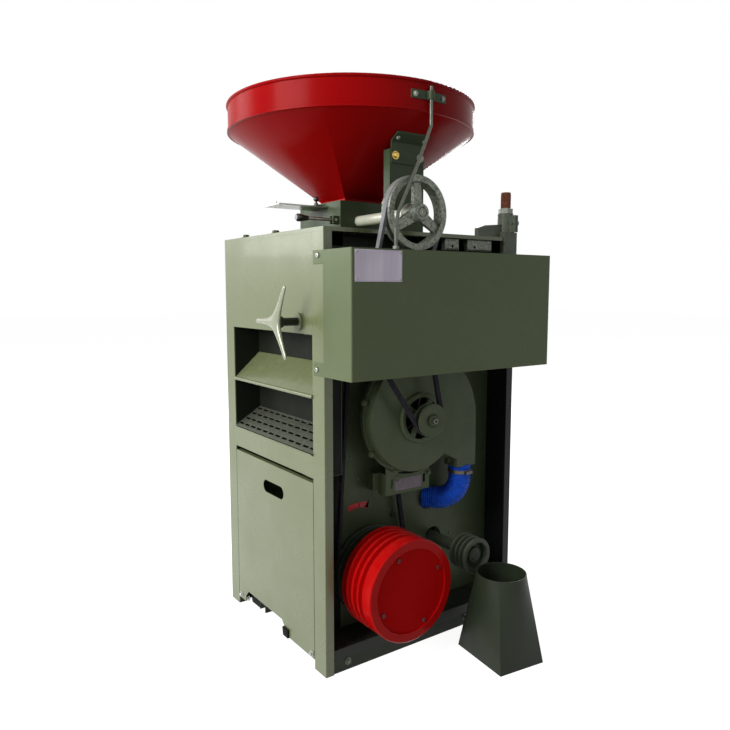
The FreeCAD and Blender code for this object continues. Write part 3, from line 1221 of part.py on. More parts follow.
def hex_bolts():
    """Bolt heads on the hopper's supports, the fan flange, the bracket and the top plate."""
    heads = []
    back = V(0, -1, 0)
    for x in (CHANNEL_X0 + 18, CHANNEL_X1 - 18):
        heads.append(hexagon(V(x, CHANNEL_Y - STRAP_T, CHANNEL_TOP - 18), back, 17, 8))
    for x, z in fan_bolt_places():
        heads.append(hexagon(V(x, FAN_SPLIT_Y - 4, z), back, 13, 6))
    for x in (FAN_X - 98 + 14, FAN_X - 25 + 14):
        heads.append(hexagon(V(x, FAN_FRONT_Y - 3, 545), back, 13, 6))
    for y in (-20.0, 190.0):
        heads.append(hexagon(V(X_OUT + 18, y, CABINET_Z), V(0, 0, 1), 19, 8))
    return Part.makeCompound(heads)


def outlet_spout():
    """Loose discharge spout: rectangular foot, lofted sheet body and round mouth."""
    def body(shrink):
        hx, hy = SPOUT_BASE_X / 2 - shrink, SPOUT_BASE_Y / 2 - shrink
        r = SPOUT_TOP_R - shrink
        corners = [V(hx, hy, 0), V(-hx, hy, 0), V(-hx, -hy, 0), V(hx, -hy, 0)]
        foot = Part.makePolygon(corners + corners[:1])
        arcs = []
        for k in range(4):
            a = [math.radians(45 + 90 * k + t) for t in (0, 45, 90)]
            p = [V(r * math.cos(t), r * math.sin(t), SPOUT_Z1) for t in a]
            arcs.append(Part.Arc(p[0], p[1], p[2]).toShape())
        return Part.makeLoft([foot, Part.Wire(arcs)], True, True)

    shell = body(0).cut(body(SPOUT_SHEET))
    shell.rotate(V(0, 0, 0), V(0, 0, 1), SPOUT_TURN)
    shell.translate(V(SPOUT_X, SPOUT_Y, 0))
    return shell


def build():
    """Every sub-part by its node name."""
    front = FEED_BELT_Y - 14
    slow_phase = 180.0 + 180.0 / SLOW_TEETH
    fan, roll_axis = (FAN_X, FAN_Z), (FAST_X, ROLL_Z)
    return {
        "base_frame": base_frame(), "post_front_left": post(-1, -1), "post_front_right": post(1, -1),
        "post_back_left": post(-1, 1), "post_back_right": post(1, 1), "top_frame": top_frame(),
        "top_plate": top_plate(), "bay_panel": bay_panel(), "bay_skirt": bay_skirt(),
        "right_panel": right_panel(), "rear_panel": rear_panel(),
        "outlet_upper_panel": outlet_upper_panel(), "outlet_tray": outlet_tray(),
        "outlet_liner": outlet_liner(), "rice_screen": rice_screen(), "outlet_strip": outlet_strip(),
        "lower_door": lower_door(), "belt_guard": belt_guard(), "husker_housing": husker_housing(),
        "fast_roll": roll(FAST_X, FAST_TEETH, 0.0, front),
        "slow_roll": roll(SLOW_X, SLOW_TEETH, slow_phase, -HUSKER_Y - 12),
        "roll_pulley": roll_pulley(), "roll_drive_pulley": roll_drive_pulley(),
        "main_shaft": main_shaft(), "main_pulley": main_pulley(),
        "pulley_cover": pulley_cover(), "rear_pulley": rear_pulley(),
        "polishing_roller": polishing_roller(), "polisher_housing": polisher_housing(),
        "drive_motor": drive_motor(), "motor_pulley": motor_pulley(),
        "fan_front_casing": fan_front_casing(), "fan_rear_casing": fan_rear_casing(),
        "fan_bearing_hub": fan_bearing_hub(), "fan_impeller": fan_impeller(),
        "fan_pulley": fan_pulley(), "fan_bracket": fan_bracket(), "blower_hose": blower_hose(),
        "hose_clamp": hose_clamp(), "feed_box": feed_box(), "hopper": hopper(),
        "hopper_strap": hopper_strap(), "hopper_channel": hopper_channel(),
        "stay_bracket": stay_bracket(), "stay_rod": stay_rod(),
        "feed_shaft_sleeve": feed_shaft_sleeve(), "feed_pulley": feed_pulley(),
        "feed_roller": feed_roller(), "gate_slide": gate_slide(), "gate_lock_screw": gate_lock_screw(),
        "gate_lever": gate_lever(), "lever_knob": lever_knob(), "star_handle": star_handle(),
        "tension_clamp": tension_clamp(), "tension_rod": tension_rod(), "hex_bolts": hex_bolts(),
        "roll_belt": vee_belt(ROLL_BELT_Y, (MAIN_X, MAIN_Z), REAR_PULLEY_R, roll_axis, ROLL_DRIVE_R),
        "fan_belt": vee_belt(FAN_BELT_Y, fan, FAN_PULLEY_R, roll_axis, ROLL_PULLEY_R),
        "feed_belt": vee_belt(FEED_BELT_Y, roll_axis, ROLL_FEED_R, (FEED_X, FEED_Z), FEED_PULLEY_R),
        "outlet_spout": outlet_spout(),
    }


def main():
    """Write one STEP file for each sub-part."""
    os.makedirs("parts", exist_ok=True)
    for name, shape in build().items():
        shape.exportStep("parts/" + name + ".step")


main()
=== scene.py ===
"""Looks of a floor-standing rice huller around its CAD frame."""
import logging
import math
from collections.abc import Callable, Iterable
from dataclasses import dataclass
from enum import Enum

import bpy
from mathutils import Euler, Matrix, Vector


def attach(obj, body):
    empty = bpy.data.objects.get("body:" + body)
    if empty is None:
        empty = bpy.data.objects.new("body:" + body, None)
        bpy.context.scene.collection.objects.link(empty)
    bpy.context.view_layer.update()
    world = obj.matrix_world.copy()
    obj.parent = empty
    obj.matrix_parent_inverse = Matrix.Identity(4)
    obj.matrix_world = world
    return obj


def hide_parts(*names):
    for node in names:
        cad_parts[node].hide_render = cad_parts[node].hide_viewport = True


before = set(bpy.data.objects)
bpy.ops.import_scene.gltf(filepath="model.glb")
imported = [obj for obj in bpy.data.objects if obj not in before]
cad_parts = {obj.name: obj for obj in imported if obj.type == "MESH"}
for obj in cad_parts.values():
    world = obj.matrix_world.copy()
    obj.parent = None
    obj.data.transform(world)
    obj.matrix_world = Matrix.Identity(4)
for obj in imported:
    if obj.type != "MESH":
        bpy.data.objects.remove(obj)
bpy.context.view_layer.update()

LOG = logging.getLogger("huller")
Colour = tuple[float, float, float]
Place = tuple[float, float, float]
Pair = tuple[float, float]


def tone(screen: Colour) -> Colour:
    """Turn a screen colour into the linear values a shader takes.

    Args:
        screen: its red, green and blue, 0 to 255.

    Returns:
        The linear colour.
    """
    shares = [v / 255 for v in screen]
    return tuple(v / 12.92 if v <= 0.04045 else ((v + 0.055) / 1.055) ** 2.4 for v in shares)


class Layer(Enum):
    """Whether a finish's patches lie evenly or are drawn out upright."""

    FILM = "film"
    STREAK = "streak"


@dataclass(frozen=True)
class Finish:
    """One finish: its two tones, its edge tone (wear; on the red pulley a painted highlight), and
    how it takes light.
    """

    name: str
    base: Colour
    shade: Colour
    roughness: float
    layer: Layer = Layer.FILM
    metallic: float = 0.0
    coat: float = 0.0
    gloss: float = 0.5
    ior: float = 1.5
    patch_scale: float = 5.0
    patch: float = 0.5
    grain_scale: float = 700.0
    grain: float = 0.00003
    spread: float = 0.12
    rub: float = 0.35
    rub_and_glint_tone: Colour = (178.9, 178.9, 173.4)
    edge: float = 0.0014
    dust: float = 0.25
    wave: float = 0.0


class NodeBoard:
    """A node tree that nodes are added to, each input given a value or a socket."""

    def __init__(self, tree: bpy.types.NodeTree) -> None:
        """Keep the tree."""
        self.tree = tree

    def feed(self, socket: bpy.types.NodeSocket, value: object) -> None:
        """Link a socket to another one, or set its value.

        Args:
            socket: the input to feed.
            value: another node's socket, or a value.
        """
        if isinstance(value, bpy.types.NodeSocket):
            self.tree.links.new(value, socket)
        else:
            socket.default_value = value

    def add(self, kind: str, inputs: dict[str | int, object] | None = None,
            **settings: object) -> bpy.types.Node:
        """Add a node.

        Args:
            kind: the node's type, without the words that all of them start with.
            inputs: an input's name or number to its value or socket.
            **settings: the node's own settings.

        Returns:
            The node.
        """
        node = self.tree.nodes.new("ShaderNode" + kind)
        for key, value in settings.items():
            setattr(node, key, value)
        for key, value in (inputs or {}).items():
            self.feed(node.inputs[key], value)
        return node

    def maths(self, kind: str, a: object, b: object) -> bpy.types.NodeSocket:
        """Work one sum out of two values or sockets."""
        return self.add("Math", {0: a, 1: b}, operation=kind).outputs[0]

    def shown(self) -> bpy.types.NodeSocket:
        """One where the camera sees a thing, also in a reflection or through glass.

        Returns:
            The socket, 1 or 0.
        """
        rays = self.add("LightPath").outputs
        seen = self.maths("MAXIMUM", rays["Is Camera Ray"], rays["Is Glossy Ray"])
        return self.maths("MAXIMUM", seen, rays["Is Transmission Ray"])


class FinishLayers(NodeBoard):
    """Node group that lays patches, grain, low dust and rubbed edges over a base tone; the red
    pulley's pale edges are a painted highlight.
    """

    DUST_TONE = (0.55, 0.5, 0.4, 1.0)
    MIX_FIRST, MIX_SECOND, MIX_RESULT = 6, 7, 2

    def __init__(self) -> None:
        """Make the group, its sockets and its nodes."""
        super().__init__(bpy.data.node_groups.new("finish_layers", "ShaderNodeTree"))
        number, colour = "NodeSocketFloat", "NodeSocketColor"
        inputs = {
            "Base": (colour, (0.5, 0.5, 0.5, 1)), "Shade": (colour, (0.4, 0.4, 0.4, 1)),
            "Rub And Glint Tone": (colour, (0.5, 0.5, 0.5, 1)), "Stretch": ("NodeSocketVector", (1, 1, 1)),
            "Patch Scale": (number, 5.0), "Patch": (number, 0.5), "Grain Scale": (number, 700.0),
            "Roughness": (number, 0.4), "Spread": (number, 0.1), "Rub": (number, 0.3),
            "Edge": (number, 0.001), "Dust": (number, 0.2)}
        outputs = {"Colour": colour, "Roughness": number, "Height": number, "Wave": number,
                   "Normal": "NodeSocketVector"}
        face = self.tree.interface
        for key, (kind, default) in inputs.items():
            face.new_socket(name=key, in_out="INPUT", socket_type=kind).default_value = default
        for key, kind in outputs.items():
            face.new_socket(name=key, in_out="OUTPUT", socket_type=kind)
        self.build()

    def ranged(self, value: bpy.types.NodeSocket, low: float, high: float) -> bpy.types.NodeSocket:
        """Stretch a value's span to 0..1."""
        node = self.add("MapRange", {"Value": value, "From Min": low, "From Max": high})
        return node.outputs["Result"]

    def blend(self, factor: bpy.types.NodeSocket, a: object, b: object) -> bpy.types.NodeSocket:
        """Mix two colours by a factor.

        Args:
            factor: how much of the second colour shows.
            a: the first colour or its socket.
            b: the second colour or its socket.

        Returns:
            The mixed colour's socket.
        """
        node = self.add("Mix", data_type="RGBA")
        for key, value in ((0, factor), (self.MIX_FIRST, a), (self.MIX_SECOND, b)):
            self.feed(node.inputs[key], value)
        return node.outputs[self.MIX_RESULT]

    def noise(self, vector: bpy.types.NodeSocket, scale: object, detail: float,
              rough: float = 0.55) -> bpy.types.NodeSocket:
        """Add a noise pattern at a scale."""
        return self.add("TexNoise", {"Vector": vector, "Scale": scale, "Detail": detail,
                                     "Roughness": rough}).outputs["Fac"]

    def build(self) -> None:
        """Lay the layers over one another and give them out."""
        give = self.tree.nodes.new("NodeGroupInput").outputs
        place = self.add("TexCoord").outputs["Object"]
        drawn = self.add("Mapping", {"Vector": place, "Scale": give["Stretch"]}).outputs["Vector"]
        patch = self.ranged(self.noise(drawn, give["Patch Scale"], 5.0, 0.6), 0.36, 0.64)
        share = self.maths("MULTIPLY", patch, give["Patch"])
        painted = self.blend(share, give["Base"], give["Shade"])
        edge = self.add("Bevel", {"Radius": give["Edge"]}, samples=4).outputs["Normal"]
        normal = self.add("NewGeometry").outputs["Normal"]
        along = self.add("VectorMath", {0: edge, 1: normal}, operation="DOT_PRODUCT")
        bent = self.ranged(self.maths("SUBTRACT", 1.0, along.outputs["Value"]), 0.04, 0.22)
        broken = self.ranged(self.noise(place, 90.0, 4.0, 0.7), 0.47, 0.62)
        # Edges take the rub tone: worn paint, and on the red pulley a pale pink painted highlight.
        rub_and_glint_share = self.maths("MULTIPLY", self.maths("MULTIPLY", bent, broken), give["Rub"])
        worn_and_glint = self.blend(rub_and_glint_share, painted, give["Rub And Glint Tone"])
        upward = self.ranged(self.add("SeparateXYZ", {0: normal}).outputs["Z"], 0.2, 1.0)
        powder = self.ranged(self.noise(place, 34.0, 6.0, 0.7), 0.42, 0.7)
        settled = self.maths("MULTIPLY", self.maths("MULTIPLY", upward, powder), give["Dust"])
        varied = self.maths("MULTIPLY", self.maths("SUBTRACT", patch, 0.4), give["Spread"])
        dull = self.maths("ADD", self.maths("ADD", give["Roughness"], varied),
                          self.maths("MULTIPLY", settled, 0.4))
        take = self.tree.nodes.new("NodeGroupOutput").inputs
        for key, socket in (("Colour", self.blend(settled, worn_and_glint, self.DUST_TONE)),
                            ("Roughness", dull),
                            ("Height", self.noise(drawn, give["Grain Scale"], 2.0)),
                            ("Wave", self.noise(place, 4.5, 1.0)), ("Normal", edge)):
            self.feed(take[key], socket)


class Paintshop:
    """Makes materials from finishes and puts them on nodes and pieces."""

    STRETCH = {Layer.STREAK: (1.0, 1.0, 0.06)}

    def __init__(self) -> None:
        """Start with the shared group and no material made."""
        self.layers = FinishLayers()
        self.made: dict[str, bpy.types.Material] = {}

    def material(self, finish: Finish) -> bpy.types.Material:
        """Make a finish's material once.

        Args:
            finish: the finish to make.

        Returns:
            Its material.
        """
        if finish.name in self.made:
            return self.made[finish.name]
        material = bpy.data.materials.new(finish.name)
        material.use_nodes = True
        board = NodeBoard(material.node_tree)
        group = board.add("Group", node_tree=self.layers.tree)
        values = {
            "Base": (*tone(finish.base), 1.0), "Shade": (*tone(finish.shade), 1.0),
            "Rub And Glint Tone": (*tone(finish.rub_and_glint_tone), 1.0),
            "Stretch": self.STRETCH.get(finish.layer, (1, 1, 1)),
            "Patch Scale": finish.patch_scale, "Patch": finish.patch,
            "Grain Scale": finish.grain_scale, "Roughness": finish.roughness,
            "Spread": finish.spread, "Rub": finish.rub, "Edge": finish.edge, "Dust": finish.dust}
        for key, value in values.items():
            board.feed(group.inputs[key], value)
        out = group.outputs
        bump = board.add("Bump", {"Strength": 1.0, "Distance": finish.grain,
                                  "Height": out["Height"], "Normal": out["Normal"]})
        if finish.wave:
            bump = board.add("Bump", {"Strength": 1.0, "Distance": finish.wave,
                                      "Height": out["Wave"], "Normal": bump.outputs["Normal"]})
        shader = material.node_tree.nodes["Principled BSDF"].inputs
        for key, value in (("Metallic", finish.metallic), ("Coat Weight", finish.coat),
                           ("Coat Roughness", 0.08), ("Specular IOR Level", finish.gloss),
                           ("IOR", finish.ior), ("Base Color", out["Colour"]),
                           ("Roughness", out["Roughness"]), ("Normal", bump.outputs["Normal"])):
            board.feed(shader[key], value)
        self.made[finish.name] = material
        return material

    def coat(self, piece: bpy.types.Object, finish: Finish) -> None:
        """Give a whole piece one finish."""
        piece.data.materials.clear()
        piece.data.materials.append(self.material(finish))


SAGE = Finish("sage_enamel", (114, 123, 84), (103, 111, 74), 0.28, coat=0.2, rub_and_glint_tone=(70, 72, 58),
              dust=0.14, wave=0.0012)
# A darker copy of the sage enamel that the guard is painted with: the lower tone is painted shade
# for its shaded front.
GUARD_SAGE_PAINTED_SHADE = Finish("guard_enamel_painted_shade", (104, 116, 83), (94, 106, 74), 0.3, gloss=0.3, ior=1.36,
                     rub_and_glint_tone=(60, 62, 50), dust=0.12, wave=0.0012)
BAY_GREEN = Finish("bay_enamel", (88, 101, 74), (78, 88, 62), 0.36, gloss=0.3, ior=1.36,
                   patch_scale=9.0, patch=0.7, rub_and_glint_tone=(128, 134, 116), dust=0.22)
DEEP_GREEN = Finish("deep_enamel", (70, 84, 60), (60, 71, 50), 0.34, gloss=0.25, ior=1.36,
                    patch_scale=12.0, rub_and_glint_tone=(120, 126, 108), dust=0.16)
# Near-black tone of the outlet liner: painted shade for the unlit inside of the outlet chamber.
CHAMBER_PAINTED_SHADE = Finish("chamber_painted_shade", (26, 30, 22), (20, 23, 17), 0.6, gloss=0.12,
                      rub_and_glint_tone=(70, 74, 60), dust=0.12)
HOPPER_RED = Finish("hopper_red", (166, 10, 12), (152, 8, 10), 0.22, gloss=0.25, ior=1.17,
                    rub_and_glint_tone=(120, 34, 26), dust=0.05, wave=0.0010)
# The pale pink rub tone is a painted highlight on the pulley's edges and grooves, standing in for
# the lamps' glint.
PULLEY_RED = Finish("pulley_red", (204, 13, 13), (190, 10, 10), 0.18, ior=1.16,
                    rub_and_glint_tone=(240, 150, 140), rub=0.3, dust=0.03)
COVER_RED = Finish("cover_red", (204, 13, 13), (194, 10, 10), 0.3, gloss=0.2, ior=1.15,
                   rub_and_glint_tone=(120, 20, 16), rub=0.3, dust=0.02)
BASE_GREEN = Finish("base_enamel", (62, 68, 56), (50, 55, 45), 0.4, gloss=0.25, ior=1.36,
                    patch_scale=9.0, patch=0.7, rub_and_glint_tone=(112, 116, 100), dust=0.2)
SKIRT_BLACK = Finish("skirt_dark", (44, 50, 42), (34, 38, 32), 0.42, gloss=0.2,
                     rub_and_glint_tone=(90, 92, 80), dust=0.06)
# Near-black finish of the top frame; on the right front post the same near-black is painted shade.
TOP_BLACK_AND_POST_SHADE = Finish("top_black_and_post_shade", (28, 30, 29), (20, 21, 20), 0.4, gloss=0.2, rub_and_glint_tone=(96, 94, 84),
                   dust=0.06)
CAST_GREY = Finish("cast_grey", (156, 162, 148), (82, 88, 76), 0.42, metallic=0.3, gloss=0.4,
                   patch_scale=120.0, patch=0.9, grain_scale=420.0, grain=0.0003,
                   rub_and_glint_tone=(176, 178, 168), rub=0.6, dust=0.1)
CAST_PAINT = Finish("cast_paint", (112, 120, 106), (92, 100, 86), 0.42, gloss=0.3,
                    patch_scale=60.0, patch=0.6, grain_scale=420.0, grain=0.00016,
                    rub_and_glint_tone=(190, 192, 182), rub=0.75, edge=0.0022, dust=0.1)
PULLEY_GREEN = Finish("pulley_green", (70, 79, 64), (58, 66, 52), 0.42, gloss=0.22,
                      patch_scale=50.0, grain_scale=420.0, grain=0.00012, rub_and_glint_tone=(128, 132, 120),
                      rub=0.5, dust=0.1)
BRIGHT_STEEL = Finish("bright_steel", (182, 182, 178), (150, 150, 148), 0.3, Layer.STREAK,
                      metallic=1.0, patch_scale=60.0, grain_scale=900.0, rub=0.1)
ROD_STEEL = Finish("rod_steel", (98, 101, 92), (74, 78, 68), 0.34, metallic=0.55, gloss=0.4,
                   patch_scale=70.0, patch=0.6, rub_and_glint_tone=(160, 160, 150), dust=0.05)
DARK_STEEL = Finish("dark_steel", (96, 92, 84), (70, 66, 60), 0.42, metallic=0.9, patch_scale=70.0,
                    patch=0.7, rub_and_glint_tone=(150, 148, 140))
RUST = Finish("rusted_thread", (158, 98, 74), (104, 58, 44), 0.7, metallic=0.2, gloss=0.2,
              patch_scale=160.0, patch=0.9, grain=0.0002, rub_and_glint_tone=(176, 140, 118), dust=0.0)
NUT_PALE = Finish("nut_pale", (188, 194, 178), (160, 168, 148), 0.4, patch_scale=60.0,
                  rub_and_glint_tone=(96, 104, 84), rub=0.5)
# The sleeve's pale cream tone is a painted reflection of the white surroundings on a green-painted
# tube.
SLEEVE_PAINTED_REFLECTION = Finish("sleeve_painted_reflection", (206, 208, 190), (188, 192, 168), 0.22, coat=0.4,
                     patch_scale=20.0, rub_and_glint_tone=(110, 112, 96), dust=0.05)
BELT_WRAP = Finish("belt_wrap", (46, 44, 52), (30, 29, 34), 0.7, gloss=0.15, patch_scale=60.0,
                   grain_scale=1500.0, grain=0.00012, rub_and_glint_tone=(104, 98, 108), rub=0.5, dust=0.1)
FEED_BELT_WRAP = Finish("feed_belt_wrap", (138, 140, 140), (104, 102, 112), 0.6, gloss=0.25,
                        patch_scale=60.0, grain_scale=1500.0, grain=0.00012,
                        rub_and_glint_tone=(176, 170, 184), rub=0.4, dust=0.05)
# The whole spout is darkened: painted shade standing in for the shadow on its left face.
SPOUT_PAINTED_SHADE = Finish("spout_enamel_painted_shade", (48, 57, 42), (38, 45, 33), 0.36, gloss=0.3, ior=1.36,
                     patch_scale=7.0, patch=0.7, rub_and_glint_tone=(112, 118, 98), dust=0.05)
ROLL_RUBBER = Finish("roll_rubber", (214, 206, 184), (196, 186, 162), 0.7, patch_scale=20.0,
                     grain_scale=900.0, grain=0.0001, rub=0.1)
HOSE_BLUE = Finish("hose_blue", (34, 104, 236), (26, 80, 196), 0.36, gloss=0.3, ior=1.36,
                   patch_scale=40.0, patch=0.7, rub=0.3, rub_and_glint_tone=(112, 120, 196), dust=0.03)
KNOB_BLACK = Finish("knob_black", (24, 24, 26), (18, 18, 19), 0.18, coat=0.4, rub=0.1)
STAR_GREY = Finish("star_grey", (168, 172, 150), (140, 144, 122), 0.22, metallic=0.35,
                   patch_scale=30.0, rub_and_glint_tone=(206, 206, 194), rub=0.7, edge=0.003, dust=0.05)
PLATE_SILVER = Finish("plate_silver", (182, 174, 188), (156, 148, 166), 0.4, Layer.STREAK,
                      metallic=0.35, patch_scale=40.0, rub=0.1, edge=0.0006, dust=0.0)
STICKER_RED = Finish("sticker_red", (214, 40, 44), (190, 28, 34), 0.3, gloss=0.4, patch_scale=60.0,
                     rub_and_glint_tone=(225, 190, 185), rub=0.6, dust=0.0)
# Near-black of the bay strips; on the right post's inner side it is painted shade.
DARK_STRIP_BLACK = Finish("dark_strip_black", (20, 21, 21), (14, 15, 15), 0.55, gloss=0.12,
                      rub_and_glint_tone=(60, 60, 56), dust=0.04)
LABEL_GREY = Finish("label_grey", (138, 128, 136), (118, 108, 116), 0.5, gloss=0.25,
                    patch_scale=70.0, rub_and_glint_tone=(90, 84, 88), edge=0.0005, dust=0.0)
BRASS = Finish("brass", (206, 178, 96), (170, 140, 66), 0.3, metallic=0.9, patch_scale=90.0,
               rub_and_glint_tone=(236, 220, 150), edge=0.0008, dust=0.0)
SIEVE_STEEL = Finish("sieve_steel", (112, 116, 102), (78, 82, 70), 0.45, metallic=0.6, gloss=0.3,
                     patch_scale=260.0, patch=0.9, rub_and_glint_tone=(150, 152, 140), edge=0.0006, dust=0.1)
SHAFT_DARK = Finish("shaft_dark", (44, 46, 40), (30, 32, 28), 0.4, gloss=0.3, patch_scale=70.0,
                    rub_and_glint_tone=(120, 122, 112), dust=0.05)
SCREW_DARK = Finish("screw_dark", (96, 16, 14), (70, 12, 10), 0.35, gloss=0.4, patch_scale=90.0,
                    rub_and_glint_tone=(170, 90, 80), edge=0.0006, dust=0.0)
FOOT_RUBBER = Finish("foot_rubber", (16, 16, 16), (11, 11, 11), 0.62, gloss=0.1, patch_scale=50.0,
                     grain_scale=900.0, grain=0.0001, rub_and_glint_tone=(46, 45, 42), dust=0.03)

FINISH_NODES: dict[Finish, str] = {
    GUARD_SAGE_PAINTED_SHADE: "belt_guard",
    HOPPER_RED: "hopper",
    PULLEY_RED: "main_pulley",
    COVER_RED: "pulley_cover",
    SKIRT_BLACK: "bay_skirt",
    CAST_PAINT: "husker_housing tension_clamp",
    CAST_GREY: "polisher_housing polishing_roller roll_pulley roll_drive_pulley feed_pulley",
    BAY_GREEN: "fan_bearing_hub bay_panel fan_front_casing fan_rear_casing fan_bracket "
               "fan_pulley",
    BRIGHT_STEEL: "main_shaft gate_slide gate_lever feed_roller",
    SIEVE_STEEL: "rice_screen",
    ROD_STEEL: "stay_rod hex_bolts",
    SLEEVE_PAINTED_REFLECTION: "feed_shaft_sleeve",
    NUT_PALE: "tension_rod",
    DARK_STEEL: "hose_clamp fan_impeller",
    BELT_WRAP: "roll_belt fan_belt",
    FEED_BELT_WRAP: "feed_belt",
    ROLL_RUBBER: "fast_roll slow_roll",
    HOSE_BLUE: "blower_hose",
    KNOB_BLACK: "lever_knob gate_lock_screw",
    STAR_GREY: "star_handle",
    PULLEY_GREEN: "rear_pulley motor_pulley drive_motor",
    DEEP_GREEN: "hopper_strap hopper_channel stay_bracket feed_box",
    SPOUT_PAINTED_SHADE: "outlet_spout",
    CHAMBER_PAINTED_SHADE: "outlet_liner",
    # On post_front_right this near-black is painted shade for the post's shaded side and inner
    # flange.
    TOP_BLACK_AND_POST_SHADE: "top_frame post_front_right",
    BASE_GREEN: "base_frame",
}


class Face(Enum):
    """The side of the machine a fastener stands on, as the direction it points."""

    DRIVE = (0.0, -1.0, 0.0)
    OUTLET = (-1.0, 0.0, 0.0)
    TOP = (0.0, 0.0, 1.0)
    STRAP = (0.0, -0.574, -0.819)


def metres(place: Iterable[float]) -> Place:
    """A place given in millimetres, in metres."""
    return tuple(v / 1000 for v in place)


class Bench:
    """Modelling steps in millimetres that the pieces are made with."""

    FLAT = 0.9

    def __init__(self, shop: Paintshop) -> None:
        """Keep the paint shop that dresses each finished piece."""
        self.shop = shop

    @staticmethod
    def clear() -> None:
        """Deselect everything."""
        bpy.ops.object.select_all(action="DESELECT")

    def fix(self, piece: bpy.types.Object) -> None:
        """Put a piece's place, turn and size into its mesh.

        Args:
            piece: the piece, left selected.
        """
        self.clear()
        piece.select_set(True)
        bpy.context.view_layer.objects.active = piece
        bpy.ops.object.transform_apply(location=True, rotation=True, scale=True)

    def block(self, name: str, low: Place, high: Place) -> bpy.types.Object:
        """Add a box between two corners.

        Args:
            name: the piece's name.
            low: its lowest corner, in mm.
            high: its highest corner, in mm.

        Returns:
            The box, with its place in its mesh.
        """
        self.clear()
        centre = [(a + b) / 2000 for a, b in zip(low, high)]
        bpy.ops.mesh.primitive_cube_add(size=1.0, location=centre)
        piece = bpy.context.object
        piece.name = name
        piece.scale = [(b - a) / 1000 for a, b in zip(low, high)]
        self.fix(piece)
        return piece

    def drum(self, name: str, radius: float, height: float, sides: int = 32) -> bpy.types.Object:
        """Add an upright drum that stands on the origin.

        Args:
            name: the piece's name.
            radius: its radius, in mm.
            height: its height, in mm.
            sides: how many sides it has.

        Returns:
            The drum.
        """
        self.clear()
        bpy.ops.mesh.primitive_cylinder_add(vertices=sides, radius=radius / 1000,
                                            depth=height / 1000, location=(0, 0, height / 2000))
        piece = bpy.context.object
        piece.name = name
        self.fix(piece)
        return piece

    @staticmethod
    def pick(piece: bpy.types.Object, test: Callable[[Vector, Vector], bool]) -> None:
        """Enter edit mode with only some faces selected.

        Args:
            piece: the piece.
            test: says from a face's centre, in mm, and its normal whether it is picked.
        """
        bpy.context.view_layer.objects.active = piece
        bpy.ops.object.mode_set(mode="EDIT")
        bpy.ops.mesh.select_mode(type="FACE")
        bpy.ops.mesh.select_all(action="DESELECT")
        bpy.ops.object.mode_set(mode="OBJECT")
        for face in piece.data.polygons:
            face.select = test(face.center * 1000, face.normal)
        bpy.ops.object.mode_set(mode="EDIT")

    @staticmethod
    def leave() -> None:
        """Go back to object mode."""
        bpy.ops.object.mode_set(mode="OBJECT")

    def step(self, piece: bpy.types.Object, face: Face, *steps: Pair) -> None:
        """Inset the faces that look one way and move them outward, step by step.

        Args:
            piece: the piece to shape.
            face: the way that the faces look.
            *steps: the inset's width and the move of each step, in mm.
        """
        self.pick(piece, lambda c, n: n.dot(Vector(face.value)) > self.FLAT)
        for width, lift in steps:
            bpy.ops.mesh.inset(thickness=width / 1000)
            bpy.ops.transform.translate(value=[way * lift / 1000 for way in face.value])
        self.leave()

    @staticmethod
    def draw(move: Place, scale: Place) -> None:
        """Extrude what is selected by a move in metres, then scale its end."""
        bpy.ops.mesh.extrude_region_move(TRANSFORM_OT_translate={"value": tuple(move)})
        bpy.ops.transform.resize(value=scale)

    @staticmethod
    def apply(piece: bpy.types.Object, kind: str, **values: object) -> None:
        """Add a modifier with its values and apply it.

        Args:
            piece: the piece to change.
            kind: the modifier's type.
            **values: its settings.
        """
        bpy.context.view_layer.objects.active = piece
        piece.select_set(True)
        modifier = piece.modifiers.new(kind.lower(), kind)
        for key, value in values.items():
            setattr(modifier, key, value)
        bpy.ops.object.modifier_apply(modifier=modifier.name)

    @staticmethod
    def face_out(piece: bpy.types.Object) -> None:
        """Make every face of a piece point outwards.

        Args:
            piece: the piece.
        """
        bpy.context.view_layer.objects.active = piece
        bpy.ops.object.mode_set(mode="EDIT")
        bpy.ops.mesh.select_all(action="SELECT")
        bpy.ops.mesh.normals_make_consistent(inside=False)
        bpy.ops.object.mode_set(mode="OBJECT")

    def soften(self, piece: bpy.types.Object, width: float, segments: int = 2) -> None:
        """Round a piece's edges by a width in mm."""
        self.apply(piece, "BEVEL", width=width / 1000, segments=segments, limit_method="ANGLE",
                   angle_limit=math.radians(30), harden_normals=False)

    def carve(self, piece: bpy.types.Object, tool: bpy.types.Object,
              way: str = "DIFFERENCE") -> None:
        """Cut a tool's shape out of a piece, or fuse it in, and remove the tool.

        Args:
            piece: the piece that stays.
            tool: the piece that is used up.
            way: DIFFERENCE to cut, UNION to fuse.
        """
        self.clear()
        self.apply(piece, "BOOLEAN", object=tool, operation=way, solver="EXACT")
        bpy.data.objects.remove(tool, do_unlink=True)

    def weld(self, piece: bpy.types.Object, others: list[bpy.types.Object]) -> None:
        """Fuse other pieces into a piece and remove them.

        Args:
            piece: the piece that stays.
            others: the pieces fused into it.
        """
        for other in others:
            self.carve(piece, other, "UNION")

    def pin(self, name: str, radius: float, low: Place, length: float, axis: str = "Y",
            sides: int = 32) -> bpy.types.Object:
        """Add a round bar from a point along an axis.

        Args:
            name: the piece's name.
            radius: its radius, in mm.
            low: the centre of its lower end, in mm.
            length: its length, in mm.
            axis: the axis that it runs along.
            sides: how many sides it has.

        Returns:
            The bar.
        """
        bar = self.drum(name, radius, length, sides)
        turns = {"X": Matrix.Rotation(math.radians(90), 4, "Y"),
                 "Y": Matrix.Rotation(math.radians(-90), 4, "X"), "Z": Matrix.Identity(4)}
        bar.matrix_world = Matrix.Translation(metres(low)) @ turns[axis]
        self.fix(bar)
        return bar

